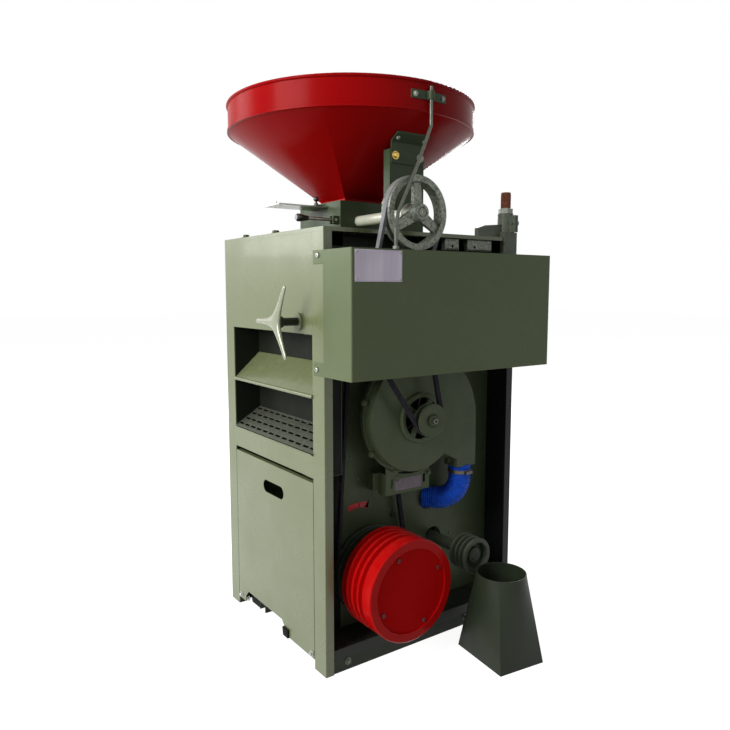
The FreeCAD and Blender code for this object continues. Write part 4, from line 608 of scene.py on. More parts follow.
    def seat(self, model: bpy.types.Object, name: str, place: Place, face: Face,
             spin: float = 0.0) -> bpy.types.Object:
        """Copy an upright model on to a face.

        Args:
            model: the upright model at the origin.
            name: the copy's name.
            place: where its foot goes, in mm.
            face: the face that it stands on.
            spin: its turn about its own axis, in degrees.

        Returns:
            The copy, with its own mesh.
        """
        self.clear()
        model.select_set(True)
        bpy.context.view_layer.objects.active = model
        bpy.ops.object.duplicate(linked=False)
        copy = bpy.context.object
        copy.name = name
        turn = Vector((0, 0, 1)).rotation_difference(Vector(face.value)).to_matrix().to_4x4()
        own = Matrix.Rotation(math.radians(spin), 4, "Z")
        copy.matrix_world = Matrix.Translation(metres(place)) @ turn @ own
        self.fix(copy)
        return copy

    def join(self, name: str, pieces: list[bpy.types.Object]) -> bpy.types.Object:
        """Join pieces into one.

        Args:
            name: the joined piece's name.
            pieces: the pieces.

        Returns:
            The joined piece.
        """
        self.clear()
        for piece in pieces:
            piece.select_set(True)
        bpy.context.view_layer.objects.active = pieces[0]
        if len(pieces) > 1:
            bpy.ops.object.join()
        joined = bpy.context.object
        joined.name = name
        return joined

    def done(self, piece: bpy.types.Object, finish: Finish, body: str, slot: str,
             angle: float = 35.0, turn: bool = True) -> bpy.types.Object:
        """Smooth, paint and attach a finished piece to its body.

        Args:
            piece: the piece.
            finish: its finish.
            body: the body that it rides on.
            slot: not used.
            angle: faces that meet flatter than this are shaded smooth, in degrees.
            turn: whether its faces are made to point outwards first.

        Returns:
            The piece.
        """
        self.fix(piece)
        if turn:
            self.face_out(piece)
        bpy.ops.object.shade_smooth_by_angle(angle=math.radians(angle))
        self.shop.coat(piece, finish)
        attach(piece, body)
        LOG.info("made %s", piece.name)
        return piece


class Fasteners:
    """Screws, bolts and rivets, each modelled once and copied."""

    def __init__(self, bench: Bench) -> None:
        """Keep the bench."""
        self.bench = bench

    def pan_screw(self, radius: float) -> bpy.types.Object:
        """Model a round-headed screw with a cross in its head.

        Args:
            radius: the head's radius, in mm.

        Returns:
            The model, upright at the origin.
        """
        bench = self.bench
        head = bench.drum("pan_screw", radius, radius * 0.55, 24)
        bench.step(head, Face.TOP, (radius * 0.3, radius * 0.16))
        bench.soften(head, radius * 0.18, 3)
        for k in range(2):
            wide, slim = radius * 0.62, radius * 0.12
            low = (-wide, -slim, radius * 0.4) if k else (-slim, -wide, radius * 0.4)
            high = (wide, slim, radius * 2) if k else (slim, wide, radius * 2)
            bench.carve(head, bench.block("cutter", low, high))
        return head

    def hex_bolt(self, across: float, washer: float = 0.0) -> bpy.types.Object:
        """Model a hexagon bolt head, with a washer under it when one is given.

        Args:
            across: the size across flats, in mm.
            washer: the washer's radius, in mm.

        Returns:
            The model, upright at the origin.
        """
        bench = self.bench
        head = bench.drum("hex_bolt", across / math.sqrt(3), across * 0.42, 6)
        bench.step(head, Face.TOP, (across * 0.07, across * 0.05))
        bench.soften(head, across * 0.03)
        if not washer:
            return head
        plate = bench.drum("washer", washer, 1.6, 32)
        bench.soften(plate, 0.4)
        bench.clear()
        head.select_set(True)
        head.location.z = 0.0014
        bench.fix(head)
        return bench.join("hex_bolt", [head, plate])

    def rivet(self, radius: float) -> bpy.types.Object:
        """Model a low domed rivet head.

        Args:
            radius: its radius, in mm.

        Returns:
            The model, upright at the origin.
        """
        r = radius
        head = self.bench.drum("rivet", r, r * 0.4, 20)
        self.bench.step(head, Face.TOP, (r * 0.25, r * 0.16), (r * 0.3, r * 0.1))
        return head

    def place(self, model: bpy.types.Object, name: str, places: Iterable[Place], face: Face,
              finish: Finish, body: str = "cabinet", slot: str = "steel",
              spin: float = 17.0) -> bpy.types.Object:
        """Copy a model to each place, join the copies and dress them.

        Args:
            model: the upright model, removed at the end.
            name: the finished piece's name.
            places: where the copies stand, in mm.
            face: the face that they stand on.
            finish: their finish.
            body: the body that they ride on.
            slot: the record's material slot.
            spin: how far each is turned from the one before, in degrees.

        Returns:
            The finished piece.
        """
        bench = self.bench
        copies = [bench.seat(model, name, place, face, spin * k) for k, place in enumerate(places)]
        bpy.data.objects.remove(model, do_unlink=True)
        return bench.done(bench.join(name, copies), finish, body, slot)


@dataclass
class Trim:
    """A group of pieces with the bench and the fasteners that it is made with."""

    bench: Bench
    make: Fasteners

    def plate(self, name: str, low: Place, high: Place, finish: Finish, edge: float,
              *steps: Pair) -> None:
        """Make a bare plate on the drive side, with a raised border.

        Args:
            name: its name.
            low: its lowest corner, in mm.
            high: its highest corner, in mm.
            finish: its finish.
            edge: how much its edges are rounded, in mm.
            *steps: the width and the rise of each step of its border, in mm.
        """
        plate = self.bench.block(name, low, high)
        self.bench.step(plate, Face.DRIVE, *steps)
        self.bench.soften(plate, edge)
        self.bench.done(plate, finish, "cabinet", "steel", 25.0)


@dataclass
class GuardTrim(Trim):
    """Bare plate and the screws of the belt guard."""

    front_y: float = -467.0
    plate_x: Pair = (-372.0, -216.0)
    plate_z: Pair = (1153.0, 1237.0)
    rivet_in: float = 6.0
    tab_x: float = -382.0
    tab_screws: tuple[Pair, ...] = ((-302.0, 1227.0), (-294.0, 908.0))

    def build(self) -> None:
        """Make the plate, its rivets and the tab screws."""
        (x0, x1), (z0, z1), y, b = self.plate_x, self.plate_z, self.front_y, self.rivet_in
        self.plate("guard_nameplate", (x0, y - 1.0, z0), (x1, y, z1), PLATE_SILVER, 0.25,
                   (3.2, 0.0), (0.9, -0.4))
        corners = [(x, y - 0.8, z) for x in (x0 + b, x1 - b) for z in (z0 + b, z1 - b)]
        self.make.place(self.make.rivet(3.4), "nameplate_rivets", corners, Face.DRIVE, NUT_PALE)
        self.make.place(self.make.pan_screw(7.5), "guard_tab_screws",
                        [(self.tab_x, y, z) for y, z in self.tab_screws], Face.OUTLET,
                        BRIGHT_STEEL)


@dataclass
class BlowerHose(Trim):
    """Ribbed hose from the fan's duct round one bend into the bay panel."""

    radius: float = 37.4
    valley: float = 34.2
    pitch: float = 7.2
    wall: float = 1.6
    top: Place = (172.0, -293.5, 556.0)
    end: Place = (91.0, -203.0, 433.0)
    bend: float = 76.0
    steps: int = 14

    def route(self) -> list[Vector]:
        """Points down the duct, round the bend and on to the panel, in mm.

        Returns:
            The points of the hose's centre line.
        """
        top, end = Vector(self.top), Vector(self.end)
        corner = Vector((top.x, top.y, end.z))
        side = (end - corner).normalized()
        pivot = corner + Vector((0, 0, self.bend)) + side * self.bend
        points = [top]
        for k in range(self.steps + 1):
            turn = math.radians(90 * k / self.steps)
            points.append(pivot - side * self.bend * math.cos(turn)
                          - Vector((0, 0, self.bend * math.sin(turn))))
        return [*points, end]

    def line(self) -> bpy.types.Object:
        """Lay the line that the hose follows.

        Returns:
            The curve object.
        """
        data = bpy.data.curves.new("hose_line", "CURVE")
        data.dimensions = "3D"
        spline = data.splines.new("POLY")
        route = self.route()
        spline.points.add(len(route) - 1)
        for point, place in zip(spline.points, route):
            point.co = (*metres(place), 1.0)
        line = bpy.data.objects.new("hose_line", data)
        bpy.context.scene.collection.objects.link(line)
        return line

    def build(self) -> None:
        """Model one rib, repeat it along the line and give the wall its thickness."""
        bench = self.bench
        bench.clear()
        bpy.ops.mesh.primitive_circle_add(vertices=40, radius=self.valley / 1000,
                                          rotation=(0, math.radians(90), 0))
        hose = bpy.context.object
        hose.name = "ribbed_blower_hose"
        bench.fix(hose)
        bpy.ops.object.mode_set(mode="EDIT")
        bpy.ops.mesh.select_mode(type="EDGE")
        bpy.ops.mesh.select_all(action="SELECT")
        grow = self.radius / self.valley
        for share, size in ((0.22, (1 + grow) / 2), (0.16, 2 * grow / (1 + grow)), (0.24, 1.0),
                            (0.16, (1 + grow) / (2 * grow)), (0.22, 2 / (1 + grow))):
            bench.draw((self.pitch * share / 1000, 0, 0), (1, size, size))
        bench.leave()
        line = self.line()
        bench.apply(hose, "ARRAY", fit_type="FIT_CURVE", curve=line, use_relative_offset=True,
                    relative_offset_displace=(1, 0, 0), use_merge_vertices=True,
                    merge_threshold=0.0002)
        bench.apply(hose, "CURVE", object=line, deform_axis="POS_X")
        bench.face_out(hose)
        bench.apply(hose, "SOLIDIFY", thickness=self.wall / 1000, offset=-1.0)
        bpy.data.objects.remove(line, do_unlink=True)
        bench.done(hose, HOSE_BLUE, "cabinet", "hose_blue", 60.0, turn=False)
        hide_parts("blower_hose")


@dataclass
class RodThread(Trim):
    """Rusted thread on the tension rod above its nut."""

    foot: Place = (355.0, -303.0, 1402.5)
    radius: float = 16.0
    core: float = 51.9
    turned: float = 44.5
    pitch: float = 4.0
    ridge: float = 1.7
    cover: float = 0.15

    def build(self) -> None:
        """Turn a ridge up the rod, over a core that covers the plain shank."""
        bench = self.bench
        core = bench.drum("rod_core", self.radius + self.cover, self.core, 40)
        bench.step(core, Face.TOP, (2.2, 0.6))
        bench.soften(core, 1.2)
        bench.clear()
        bpy.ops.mesh.primitive_cylinder_add(vertices=3, radius=self.ridge / 1000, depth=0.0002)
        ridge = bpy.context.object
        ridge.name = "ridge"
        ridge.rotation_euler = (math.radians(90), math.radians(30), 0)
        ridge.location = ((self.radius - 0.1) / 1000, 0, 0.001)
        bench.fix(ridge)
        bench.pick(ridge, lambda c, n: n.y > -0.9)
        bpy.ops.mesh.delete(type="FACE")
        bench.leave()
        bench.apply(ridge, "SCREW", angle=2 * math.pi, screw_offset=self.pitch / 1000,
                    iterations=int(self.turned / self.pitch), steps=36, render_steps=36, axis="Z",
                    use_merge_vertices=False)
        bpy.ops.object.mode_set(mode="EDIT")
        bpy.ops.mesh.select_all(action="SELECT")
        bpy.ops.mesh.remove_doubles(threshold=0.00001)
        bpy.ops.mesh.select_mode(type="EDGE")
        bpy.ops.mesh.select_all(action="DESELECT")
        bpy.ops.mesh.select_non_manifold()
        bpy.ops.mesh.edge_face_add()
        bench.leave()
        piece = bench.join("rod_thread", [core, ridge])
        piece.location = metres(self.foot)
        bench.done(piece, RUST, "rod", "steel", 50.0)


@dataclass
class BayTrim(Trim):
    """Small things on the bay panel: screws, turn arrow and near-black strips, one of them painted
    shade.
    """

    panel_y: float = -215.0
    rail_y: float = -324.0
    screws: tuple[Pair, ...] = ((-188.0, 543.0), (-214.0, 613.0), (111.0, 396.0), (202.0, 285.0),
                                (-77.0, 355.0))
    bolt: Pair = (-52.0, 403.0)
    rail_bolts: tuple[Pair, ...] = ((-300.0, 26.0), (179.0, 26.0))
    arrow_centre: Pair = (-183.0, 300.0)
    arrow_radius: float = 157.0
    arrow_half: float = 9.0
    arrow_thick: float = 0.7
    arrow_turns: tuple[tuple[int, float], ...] = ((-1, 13.0), (1, 16.0))
    arrow_head: Place = (-15.0, 0.0, -6.0)
    # Near-black strips: the far one covers the right post's inner side as painted shade for that
    # shaded face; the others are near-black strips along the left post and the belt.
    dark_strips: tuple[tuple[str, Place, Place], ...] = (
        ("bay_painted_shade_far", (373.0, -318.0, 74.0), (375.6, -215.6, 1250.0)),
        ("bay_dark_strip_near", (-302.0, -216.6, 74.0), (-256.0, -215.1, 578.0)),
        ("bay_dark_strip_upper", (-281.0, -216.6, 590.0), (-256.0, -215.1, 1000.0)),
        ("bay_dark_strip_step", (-374.0, -268.6, 584.0), (-284.0, -267.1, 1000.0)))

    def arrow(self) -> None:
        """Red curved arrow that shows which way the shaft turns, with nothing written on it."""
        bench = self.bench
        x, z = self.arrow_centre
        low, high = (z + self.arrow_radius + s * self.arrow_half for s in (-1, 1))
        band = bench.block("turn_arrow", (x - 1, self.panel_y - self.arrow_thick, low),
                           (x + 1, self.panel_y, high))
        for side, degrees in self.arrow_turns:
            bench.pick(band, lambda c, n, s=side: n.x * s > 0.9 and (c.x - x) * s > 0.5)
            bpy.ops.mesh.spin(steps=8, angle=side * math.radians(degrees), axis=(0, 1, 0),
                              center=metres((x, self.panel_y, z)))
            if side < 0:
                bpy.ops.transform.resize(value=(1.0, 1.0, 1.7))
                bench.draw(metres(self.arrow_head), (1.0, 1.0, 0.05))
            bench.leave()
        bench.done(band, STICKER_RED, "cabinet", "hopper_red")

    def build(self) -> None:
        """Make every small thing of the bay."""
        self.arrow()
        for name, low, high in self.dark_strips:
            dark_strip = self.bench.block(name, low, high)
            self.bench.soften(dark_strip, 0.6)
            self.bench.done(dark_strip, DARK_STRIP_BLACK, "cabinet", "black_paint")
        make, y = self.make, self.panel_y
        make.place(make.pan_screw(5.0), "bay_screws", [(a, y, b) for a, b in self.screws],
                   Face.DRIVE, ROD_STEEL)
        make.place(make.hex_bolt(14.0, 11.0), "bay_bolts", [(self.bolt[0], y, self.bolt[1])],
                   Face.DRIVE, DEEP_GREEN, slot="enamel")
        make.place(make.hex_bolt(13.0, 11.0), "rail_bolts",
                   [(a, self.rail_y, b) for a, b in self.rail_bolts], Face.DRIVE, ROD_STEEL)


@dataclass
class FanMount(Trim):
    """Slotted bracket under the fan with its bare label, in place of the plain bracket."""

    x: Pair = (-140.0, 34.0)
    z: Pair = (497.0, 604.0)
    front_y: float = -298.0
    flange_y: float = -262.0
    panel_y: float = -215.0
    sheet: float = 3.0
    lip: float = 18.0
    cheek: float = 68.0
    reach: Pair = (26.0, 9.0)
    scroll: Place = (-39.5, 742.5, 186.5)
    slots: tuple[Pair, ...] = ((-117.0, 533.0), (12.5, 533.0))
    slot_half: Pair = (4.5, 14.0)
    label_x: Pair = (-105.0, 0.0)
    label_z: Pair = (507.0, 545.0)
    screw: Pair = (-153.0, 508.0)

    def bracket(self) -> None:
        """Fold the bracket: front, lip, cheeks, side flanges and feet, then its cuts."""
        bench, t = self.bench, self.sheet
        (x0, x1), (z0, z1) = self.x, self.z
        y0, y1, y2, top = self.front_y, self.flange_y, self.panel_y, z0 + self.cheek
        front = bench.block("fan_mount_bracket", (x0, y0, z0), (x1, y0 + t, z1))
        others = [bench.block("lip", (x0, y0, z0), (x1, y0 + self.lip, z0 + t))]
        for side, edge in ((-1, x0), (1, x1)):
            a, b = sorted((edge, edge - side * t))
            others.append(bench.block("cheek", (a, y0, z0), (b, y1, top)))
            a, b = sorted((edge - side * t, edge + side * self.reach[0]))
            others.append(bench.block("flange", (a, y1 - t, z0), (b, y1, top)))
            a, b = sorted((edge - side * t, edge + side * self.reach[1]))
            others.append(bench.block("foot", (a, y1 - t, z0 + 6), (b, y2, top - 6)))
        bench.weld(front, others)
        x, z, r = self.scroll
        bench.carve(front, bench.pin("cutter", r, (x, y0 - 20, z), y1 - t - y0 + 16, sides=96))
        wide, tall = self.slot_half
        for x, z in self.slots:
            hole = bench.block("cutter", (x - wide, y0 - 10, z - tall),
                               (x + wide, y0 + 12, z + tall))
            bench.soften(hole, 3.5, 3)
            bench.carve(front, hole)
        bench.soften(front, 0.7)
        bench.done(front, BAY_GREEN, "cabinet", "enamel")
        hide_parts("fan_bracket")

    def build(self) -> None:
        """Make the bracket, its label and the screw of its flange."""
        self.bracket()
        (x0, x1), (z0, z1), y = self.label_x, self.label_z, self.front_y
        self.plate("bracket_label", (x0, y - 0.9, z0), (x1, y + 0.2, z1), LABEL_GREY, 0.2,
                   (1.8, -0.3))
        x, z = self.screw
        self.make.place(self.make.pan_screw(5.0), "bracket_screw",
                        [(x, self.flange_y - self.sheet, z)], Face.DRIVE, ROD_STEEL)


@dataclass
class MachineBolts(Trim):
    """Bolt heads with washers on the supports, the fan's flange and the top plate."""

    scroll: Pair = (-39.5, 742.5)
    ring: float = 184.5
    growth: float = 26.0
    flange_y: float = -294.0
    flange: tuple[tuple[int, int], ...] = ((250, 0), (215, 0), (165, 1), (125, 1), (75, 2), (30, 2))
    drive: tuple[Place, ...] = ((-97.0, -298.0, 548.0), (29.0, -298.0, 548.0))
    top: tuple[Place, ...] = ((-362.0, -20.0, 1305.0), (-362.0, 190.0, 1305.0))
    brass: Place = (-108.0, -296.0, 1527.0)
    pale: Place = (-14.0, -296.0, 1527.0)

    def flange_places(self) -> list[Place]:
        """Where the flange's bolts stand round the four-centre scroll.

        Returns:
            Their places, in mm.
        """
        places = []
        for degrees, quarter in self.flange:
            reach, turn = self.ring + self.growth * quarter, math.radians(degrees)
            x = self.scroll[0] + min(quarter, 1) * self.growth + reach * math.cos(turn)
            z = self.scroll[1] - max(quarter - 1, 0) * self.growth + reach * math.sin(turn)
            places.append((x, self.flange_y, z))
        return places

    def build(self) -> None:
        """Seat every bolt head, join them into one piece and add the pale and brass ones."""
        bench, make = self.bench, self.make
        heads = []
        for across, share, spots, face, first, turn in (
                (13.0, 0.82, self.flange_places(), Face.DRIVE, 0.0, 23.0),
                (19.0, 0.82, self.top, Face.TOP, 0.0, 23.0),
                (13.0, 0.8, self.drive, Face.DRIVE, 11.0, 0.0)):
            model = make.hex_bolt(across, across * share)
            heads += [bench.seat(model, "head", p, face, first + turn * k)
                      for k, p in enumerate(spots)]
            bpy.data.objects.remove(model, do_unlink=True)
        bolts = bench.done(bench.join("machine_bolts", heads), BAY_GREEN, "cabinet", "steel")
        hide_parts("hex_bolts")
        pale = make.place(make.hex_bolt(16.0, 12.5), "channel_pale_bolt", [self.pale], Face.DRIVE,
                          NUT_PALE)
        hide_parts("hex_bolts")
        make.place(make.hex_bolt(16.0, 12.5), "channel_brass_bolt", [self.brass], Face.DRIVE, BRASS)


@dataclass
class BaseFrame(Trim):
    """Welded base without a rail under the door, so the floor shows there, and rubber feet."""

    x: float = 376.0
    y: float = 324.0
    rail: float = 38.0
    flange: float = 45.0
    t: float = 4.0
    lug_x: float = -354.0
    lug_y: Pair = (265.0, 273.0)
    lug_z: float = 54.0
    beds: Pair = (-92.0, 152.0)
    bed_x: float = -344.0
    bed_half: float = 22.0
    bed_z: float = 34.0
    stool_x: Pair = (37.0, 213.0)
    stool_z: float = 156.0
    anchor: float = 300.0
    foot_bolt: Place = (-368.0, 214.0, 36.0)
    hinge_bolt: Place = (-380.0, 246.0, 40.0)
    feet: tuple[tuple[str, Place, Place, float, str], ...] = (
        ("rubber_foot_back", (-345.0, 170.0, 0.5), (-297.0, 252.0, 56.0), 0.8, "cabinet"),
        ("door_rubber_buffer", (-387.0, -108.0, 25.0), (-372.0, -70.0, 55.0), 0.86, "door"))

    def rails(self) -> list[bpy.types.Object]:
        """Angle rails on three sides, the door's lugs and the two lengthwise channels.

        Returns:
            The bars.
        """
        block, x, y, t, half = self.bench.block, self.x, self.y, self.t, self.bed_half
        bars = []
        for side in (-1, 1):
            for name, near, far, end, top in (("rail", y - t, y, x, self.rail),
                                              ("rail", y - self.flange, y, x, t),
                                              ("lug", *self.lug_y, self.lug_x, self.lug_z)):
                a, b = sorted((side * near, side * far))
                bars.append(block(name, (-x, a, 0), (end, b, top)))
        bars.append(block("rail", (x - t, -y, 0), (x, y, self.rail)))
        bars.append(block("rail", (x - self.flange, -y, 0), (x, y, t)))
        for bed in self.beds:
            channel = block("bed", (self.bed_x, bed - half, t), (x - t, bed + half, self.bed_z))
            hollow = block("cutter", (self.bed_x - 6, bed - half + t, -1),
                           (x + 5, bed + half - t, self.bed_z - t))
            self.bench.carve(channel, hollow)
            bars.append(channel)
        return bars

    def stool(self) -> list[bpy.types.Object]:
        """Two cross bars on four legs that carry the motor.

        Returns:
            The bars and legs.
        """
        block, half, parts = self.bench.block, self.bed_half, []
        foot, head, (near, far) = self.bed_z - 1, self.stool_z - 5, self.beds
        for x in self.stool_x:
            parts.append(block("bar", (x - half, near - half, self.stool_z - 6),
                               (x + half, far + half, self.stool_z)))
            for bed in self.beds:
                parts.append(block("leg", (x - half, bed - 3, foot), (x + half, bed + 3, head)))
                parts.append(block("leg", (x - 3, bed - 18, foot), (x + 3, bed + 18, head)))
        return parts

    def small_parts(self) -> None:
        """Two black rubber feet seen under the door, and the bright bolts beside them."""
        bench, make = self.bench, self.make
        for name, low, high, share, body in self.feet:
            foot = bench.block(name, low, high)
            bench.pick(foot, lambda c, n: n.z < -0.9)
            bpy.ops.transform.resize(value=(share, share, 1.0))
            bench.leave()
            bench.soften(foot, 3.0, 3)
            bench.done(foot, FOOT_RUBBER, body, "knob_black")
        make.place(make.hex_bolt(15.0, 12.0), "foot_bolt", [self.foot_bolt], Face.OUTLET,
                   BRIGHT_STEEL, "door")
        x, y, z = self.hinge_bolt
        make.place(make.hex_bolt(12.0, 10.0), "door_hinge_bolts", [(x, -y, z), (x, y, z)],
                   Face.OUTLET, BRIGHT_STEEL, "door")

    def build(self) -> None:
        """Weld the base, drill its anchor holes and add the small parts."""
        bench = self.bench
        base, *others = self.rails() + self.stool()
        base.name = "welded_base"
        bench.weld(base, others)
        for x in (-self.anchor, self.anchor):
            for y in (-self.anchor, self.anchor):
                bench.carve(base, bench.pin("cutter", 7.0, (x, y, -2), 10.0, "Z", 24))
        bench.soften(base, 0.8)
        bench.done(base, BASE_GREEN, "cabinet", "enamel")
        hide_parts("base_frame")
        self.small_parts()


@dataclass
class PulleyTrim(Trim):
    """Face and shaft end of the fan's pulley, rings on the feed pulley's hub, cover screws."""

    fan: Pair = (-30.0, 737.0)
    feed: Pair = (-116.0, 1349.0)
    main: Pair = (-148.0, 247.0)
    cover_y: float = -434.0
    screw_ring: float = 114.0
    screw_start: float = 25.0

    def ring(self, name: str, centre: Pair, rows: tuple[Pair, ...], finish: Finish, body: str,
             slot: str) -> None:
        """Turn a profile of (radius, y) rows about an axis along Y.

        Args:
            name: the piece's name.
            centre: x and z of its axis, in mm.
            rows: the profile's corners, from the bore outwards and back, in mm.
            finish: its finish.
            body: the body that it rides on.
            slot: the record's material slot.
        """
        self.bench.clear()
        x, z = centre
        bpy.ops.mesh.primitive_circle_add(vertices=len(rows), radius=0.01)
        piece = bpy.context.object
        piece.name = name
        for corner, (r, y) in zip(piece.data.vertices, rows):
            corner.co = metres((x + r, y, z))
        bpy.ops.object.mode_set(mode="EDIT")
        bpy.ops.mesh.select_mode(type="EDGE")
        bpy.ops.mesh.select_all(action="SELECT")
        bpy.ops.mesh.spin(steps=48, angle=2 * math.pi, center=metres((x, 0, z)), axis=(0, 1, 0))
        bpy.ops.mesh.select_all(action="SELECT")
        bpy.ops.mesh.remove_doubles(threshold=0.00002)
        bpy.ops.mesh.select_all(action="SELECT")
        bpy.ops.mesh.delete_loose()
        self.bench.leave()
        self.bench.done(piece, finish, body, slot, 32.0)

    def build(self) -> None:
        """Turn every ring and set the cover's screws."""
        self.ring("fan_pulley_face", self.fan, ((21.0, -385.5), (49.4, -385.5), (49.4, -386.6),
                                                (48.4, -387.4), (23.5, -387.4), (21.0, -386.6)),
                  BAY_GREEN, "fan_rotor", "enamel")
        self.ring("fan_shaft_end", self.fan, ((3.2, -391.0), (9.0, -391.0), (9.0, -401.5),
                                              (7.8, -403.0), (4.4, -403.0), (3.2, -401.4)),
                  ROD_STEEL, "fan_rotor", "steel")
        self.ring("feed_hub_ring", self.feed, ((14.5, -429.5), (22.5, -429.5), (22.5, -432.4),
                                               (21.0, -434.0), (16.0, -434.0), (14.5, -432.6)),
                  CAST_GREY, "feed_rotor", "cast_grey")
        self.ring("feed_shaft_cap", self.feed, ((2.6, -431.0), (11.6, -431.0), (11.6, -433.0),
                                                (10.4, -434.4), (4.0, -434.4), (2.6, -433.0)),
                  CAST_GREY, "feed_rotor", "cast_grey")
        (x, z), r = self.main, self.screw_ring
        turns = [math.radians(self.screw_start + 90 * k) for k in range(4)]
        self.make.place(self.make.pan_screw(7.0), "cover_screws",
                        [(x + r * math.cos(a), self.cover_y, z + r * math.sin(a)) for a in turns],
                        Face.DRIVE, SCREW_DARK, "main_rotor")


@dataclass
class StarHandle(Trim):
    """Cast three-arm handle with flat tapering arms, and its dark shaft."""

    place: Place = (-470.0, -190.0, 1040.0)
    hub: float = 31.0
    thick: float = 22.0
    hollow: float = 2.0
    steps: tuple[Pair, ...] = ((34.0, 0.66), (42.0, 0.8), (18.0, 0.9))
    sunk: float = 4.0
    shaft_end: float = -303.0
    shaft_radius: float = 12.0
    collar: Pair = (17.0, 16.0)

    def cast(self) -> None:
        """Draw three arms out of alternate sides of a six-sided hub and round the whole."""
        bench = self.bench
        star = bench.drum("star_handle_cast", self.hub, self.thick, 6)
        star.matrix_world = (Matrix.Translation(metres(self.place))
                             @ Matrix.Rotation(math.radians(90), 4, "Y")
                             @ Matrix.Rotation(math.radians(30), 4, "Z"))
        bench.fix(star)
        for k in range(3):
            turn = math.radians(120 * k)
            way = Vector((0.0, math.cos(turn), math.sin(turn)))
            bench.pick(star, lambda c, n, w=way: n.dot(w) > 0.95)
            for reach, share in self.steps:
                bench.draw(way * reach / 1000, (share, share, share))
            bench.leave()
        bench.pick(star, lambda c, n: n.x < -0.95)
        bpy.ops.transform.translate(value=(self.hollow / 1000, 0, 0))
        bench.leave()
        bench.apply(star, "SUBSURF", levels=3, render_levels=3)
        bench.done(star, STAR_GREY, "star", "cast_grey", 60.0)
        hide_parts("star_handle")

    def build(self) -> None:
        """Make the casting, the shaft behind it and its collar."""
        bench = self.bench
        self.cast()
        x, y, z = self.place
        start, reach = x + self.thick - self.sunk, self.collar
        shaft = bench.pin("star_shaft", self.shaft_radius, (start, y, z), self.shaft_end - start,
                          "X")
        collar = bench.pin("collar", reach[0], (start, y, z), reach[1], "X", 40)
        bench.soften(collar, 2.5, 3)
        bench.weld(shaft, [collar])
        bench.soften(shaft, 0.6)
        bench.done(shaft, SHAFT_DARK, "star", "steel")
        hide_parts("star_handle")


@dataclass
class SupportTrim(Trim):
    """Bolts of the hopper's supports and lugs under the top rail."""

    lugs: tuple[Pair, ...] = ((75.0, 135.0), (171.0, 281.0))
    lug_y: Pair = (-314.0, -296.0)
    lug_z: Pair = (1256.0, 1296.0)
    hole: Pair = (30.0, 1268.0)
    strap_screws: tuple[Place, ...] = ((-110.0, -311.0, 1575.3), (-12.0, -311.0, 1575.3))
    stay_bolts: tuple[Place, ...] = ((-114.0, -394.9, 1679.0), (-14.0, -394.9, 1679.0))

    def build(self) -> None:
        """Make the cast lugs and the screws of the strap and the stay's bracket."""
        bench, make = self.bench, self.make
        (y0, y1), (z0, z1), (inward, height) = self.lug_y, self.lug_z, self.hole
        for k, (x0, x1) in enumerate(self.lugs, 1):
            lug = bench.block(f"top_rail_lug_{k}", (x0, y0, z0), (x1, y1, z1))
            bench.step(lug, Face.DRIVE, (5.0, 3.0))
            bench.soften(lug, 1.6, 3)
            bench.carve(lug, bench.pin("cutter", 4.5, (x0 + inward, y0 - 6, height), 40.0))
            bench.done(lug, CAST_GREY, "cabinet", "cast_grey")
        make.place(make.pan_screw(6.0), "strap_screws", self.strap_screws, Face.STRAP, NUT_PALE)
        make.place(make.hex_bolt(10.0, 8.0), "stay_bracket_bolts", self.stay_bolts, Face.DRIVE,
                   NUT_PALE)


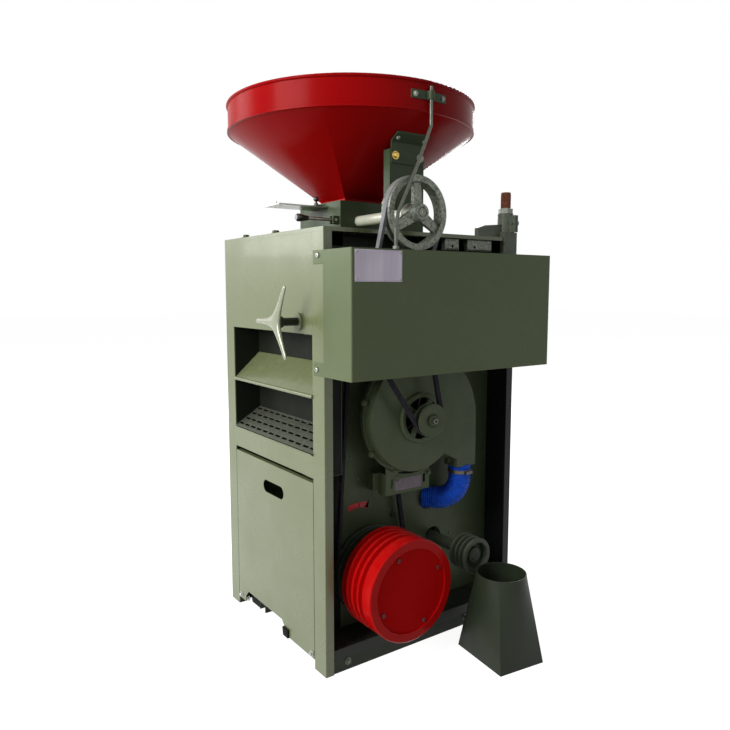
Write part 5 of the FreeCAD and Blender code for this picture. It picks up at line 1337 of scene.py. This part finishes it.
@dataclass
class Studio:
    """Camera at the photograph's place, pale floor and soft lamps."""

    eye: Place = (-1.3660, -1.9192, 1.1306)
    yaw: float = 35.2664
    pitch: float = 6.3046
    lens: float = 33.35
    sensor: float = 36.0
    floor_tone: float = 0.5
    glow_tone: float = 0.92
    air: float = 0.14
    lamps: tuple[tuple[str, Place, Place, float, float], ...] = (
        ("key", (-4.4, -0.3, 2.8), (0.0, 0.0, 0.9), 2.4, 205.0),
        ("window", (-3.6, 4.6, 2.6), (0.0, 0.0, 1.2), 2.2, 70.0),
        ("front", (1.0, -4.6, 2.4), (0.0, 0.0, 0.9), 2.6, 6.0),
        ("rear", (3.4, 4.0, 3.2), (0.0, 0.0, 0.9), 2.8, 170.0))

    @staticmethod
    def hang(name: str, data: bpy.types.ID, place: Place, turn: Euler) -> bpy.types.Object:
        """Put a camera or a lamp into the scene.

        Args:
            name: its name.
            data: the camera or the lamp.
            place: where it hangs, in metres.
            turn: how it is turned.

        Returns:
            Its object.
        """
        thing = bpy.data.objects.new(name, data)
        thing.location = place
        thing.rotation_euler = turn
        bpy.context.scene.collection.objects.link(thing)
        return thing

    def camera(self) -> None:
        """Put the camera where the photograph was taken from."""
        data = bpy.data.cameras.new("camera")
        data.lens, data.sensor_width = self.lens, self.sensor
        data.clip_start, data.clip_end = 0.05, 60.0
        turn = Euler((math.radians(90 - self.pitch), 0.0, math.radians(-self.yaw)))
        bpy.context.scene.camera = self.hang("camera", data, self.eye, turn)

    def light(self) -> None:
        """Hang the square soft lamps, each facing its own point."""
        for name, place, aim, size, watts in self.lamps:
            data = bpy.data.lights.new(name, "AREA")
            data.shape, data.size, data.energy = "SQUARE", size, watts
            turn = (Vector(aim) - Vector(place)).to_track_quat("-Z", "Y").to_euler()
            self.hang(name, data, place, turn)

    def floor(self) -> None:
        """Lay a pale floor that shows white to the camera and keeps the shadow."""
        bpy.ops.object.select_all(action="DESELECT")
        bpy.ops.mesh.primitive_plane_add(size=60.0, location=(0.0, 0.0, -0.001))
        floor = bpy.context.object
        floor.name = "floor"
        material = bpy.data.materials.new("floor_white")
        material.use_nodes = True
        board, nodes = NodeBoard(material.node_tree), material.node_tree.nodes
        shader = nodes["Principled BSDF"]
        for key, value in (("Base Color", (*[self.floor_tone] * 3, 1.0)), ("Roughness", 0.9),
                           ("Specular IOR Level", 0.0)):
            board.feed(shader.inputs[key], value)
        glow = board.add("Emission", {"Color": (*[self.glow_tone] * 3, 1.0),
                                      "Strength": board.shown()})
        both = board.add("AddShader", {0: shader.outputs[0], 1: glow.outputs[0]})
        board.feed(nodes["Material Output"].inputs["Surface"], both.outputs[0])
        floor.data.materials.append(material)

    def world(self) -> None:
        """Plain studio air: white where it is seen, softer as light."""
        world = bpy.data.worlds.new("studio")
        bpy.context.scene.world = world
        world.use_nodes = True
        board = NodeBoard(world.node_tree)
        span = board.add("MapRange", {"Value": board.shown(), "To Min": self.air, "To Max": 1.0})
        air = world.node_tree.nodes["Background"].inputs
        board.feed(air["Color"], (1.0, 1.0, 1.0, 1.0))
        board.feed(air["Strength"], span.outputs["Result"])

    def build(self) -> None:
        """Set the whole studio up."""
        self.camera()
        self.world()
        self.floor()
        self.light()
        bpy.context.scene.view_settings.view_transform = "Standard"


def main() -> None:
    """Build the studio, dress every node and add every piece."""
    logging.basicConfig(level=logging.INFO, format="%(name)s: %(message)s")
    shop = Paintshop()
    Studio().build()
    finishes = {name: finish for finish, names in FINISH_NODES.items() for name in names.split()}
    for name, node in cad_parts.items():
        shop.coat(node, finishes.get(name, SAGE))
        LOG.info("dressed %s", name)
    bench = Bench(shop)
    fasteners = Fasteners(bench)
    for trim in (GuardTrim, BlowerHose, RodThread, BayTrim, FanMount, MachineBolts, BaseFrame,
                 PulleyTrim, StarHandle, SupportTrim):
        trim(bench, fasteners).build()
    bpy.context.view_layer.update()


if __name__ == "__main__":
    main()
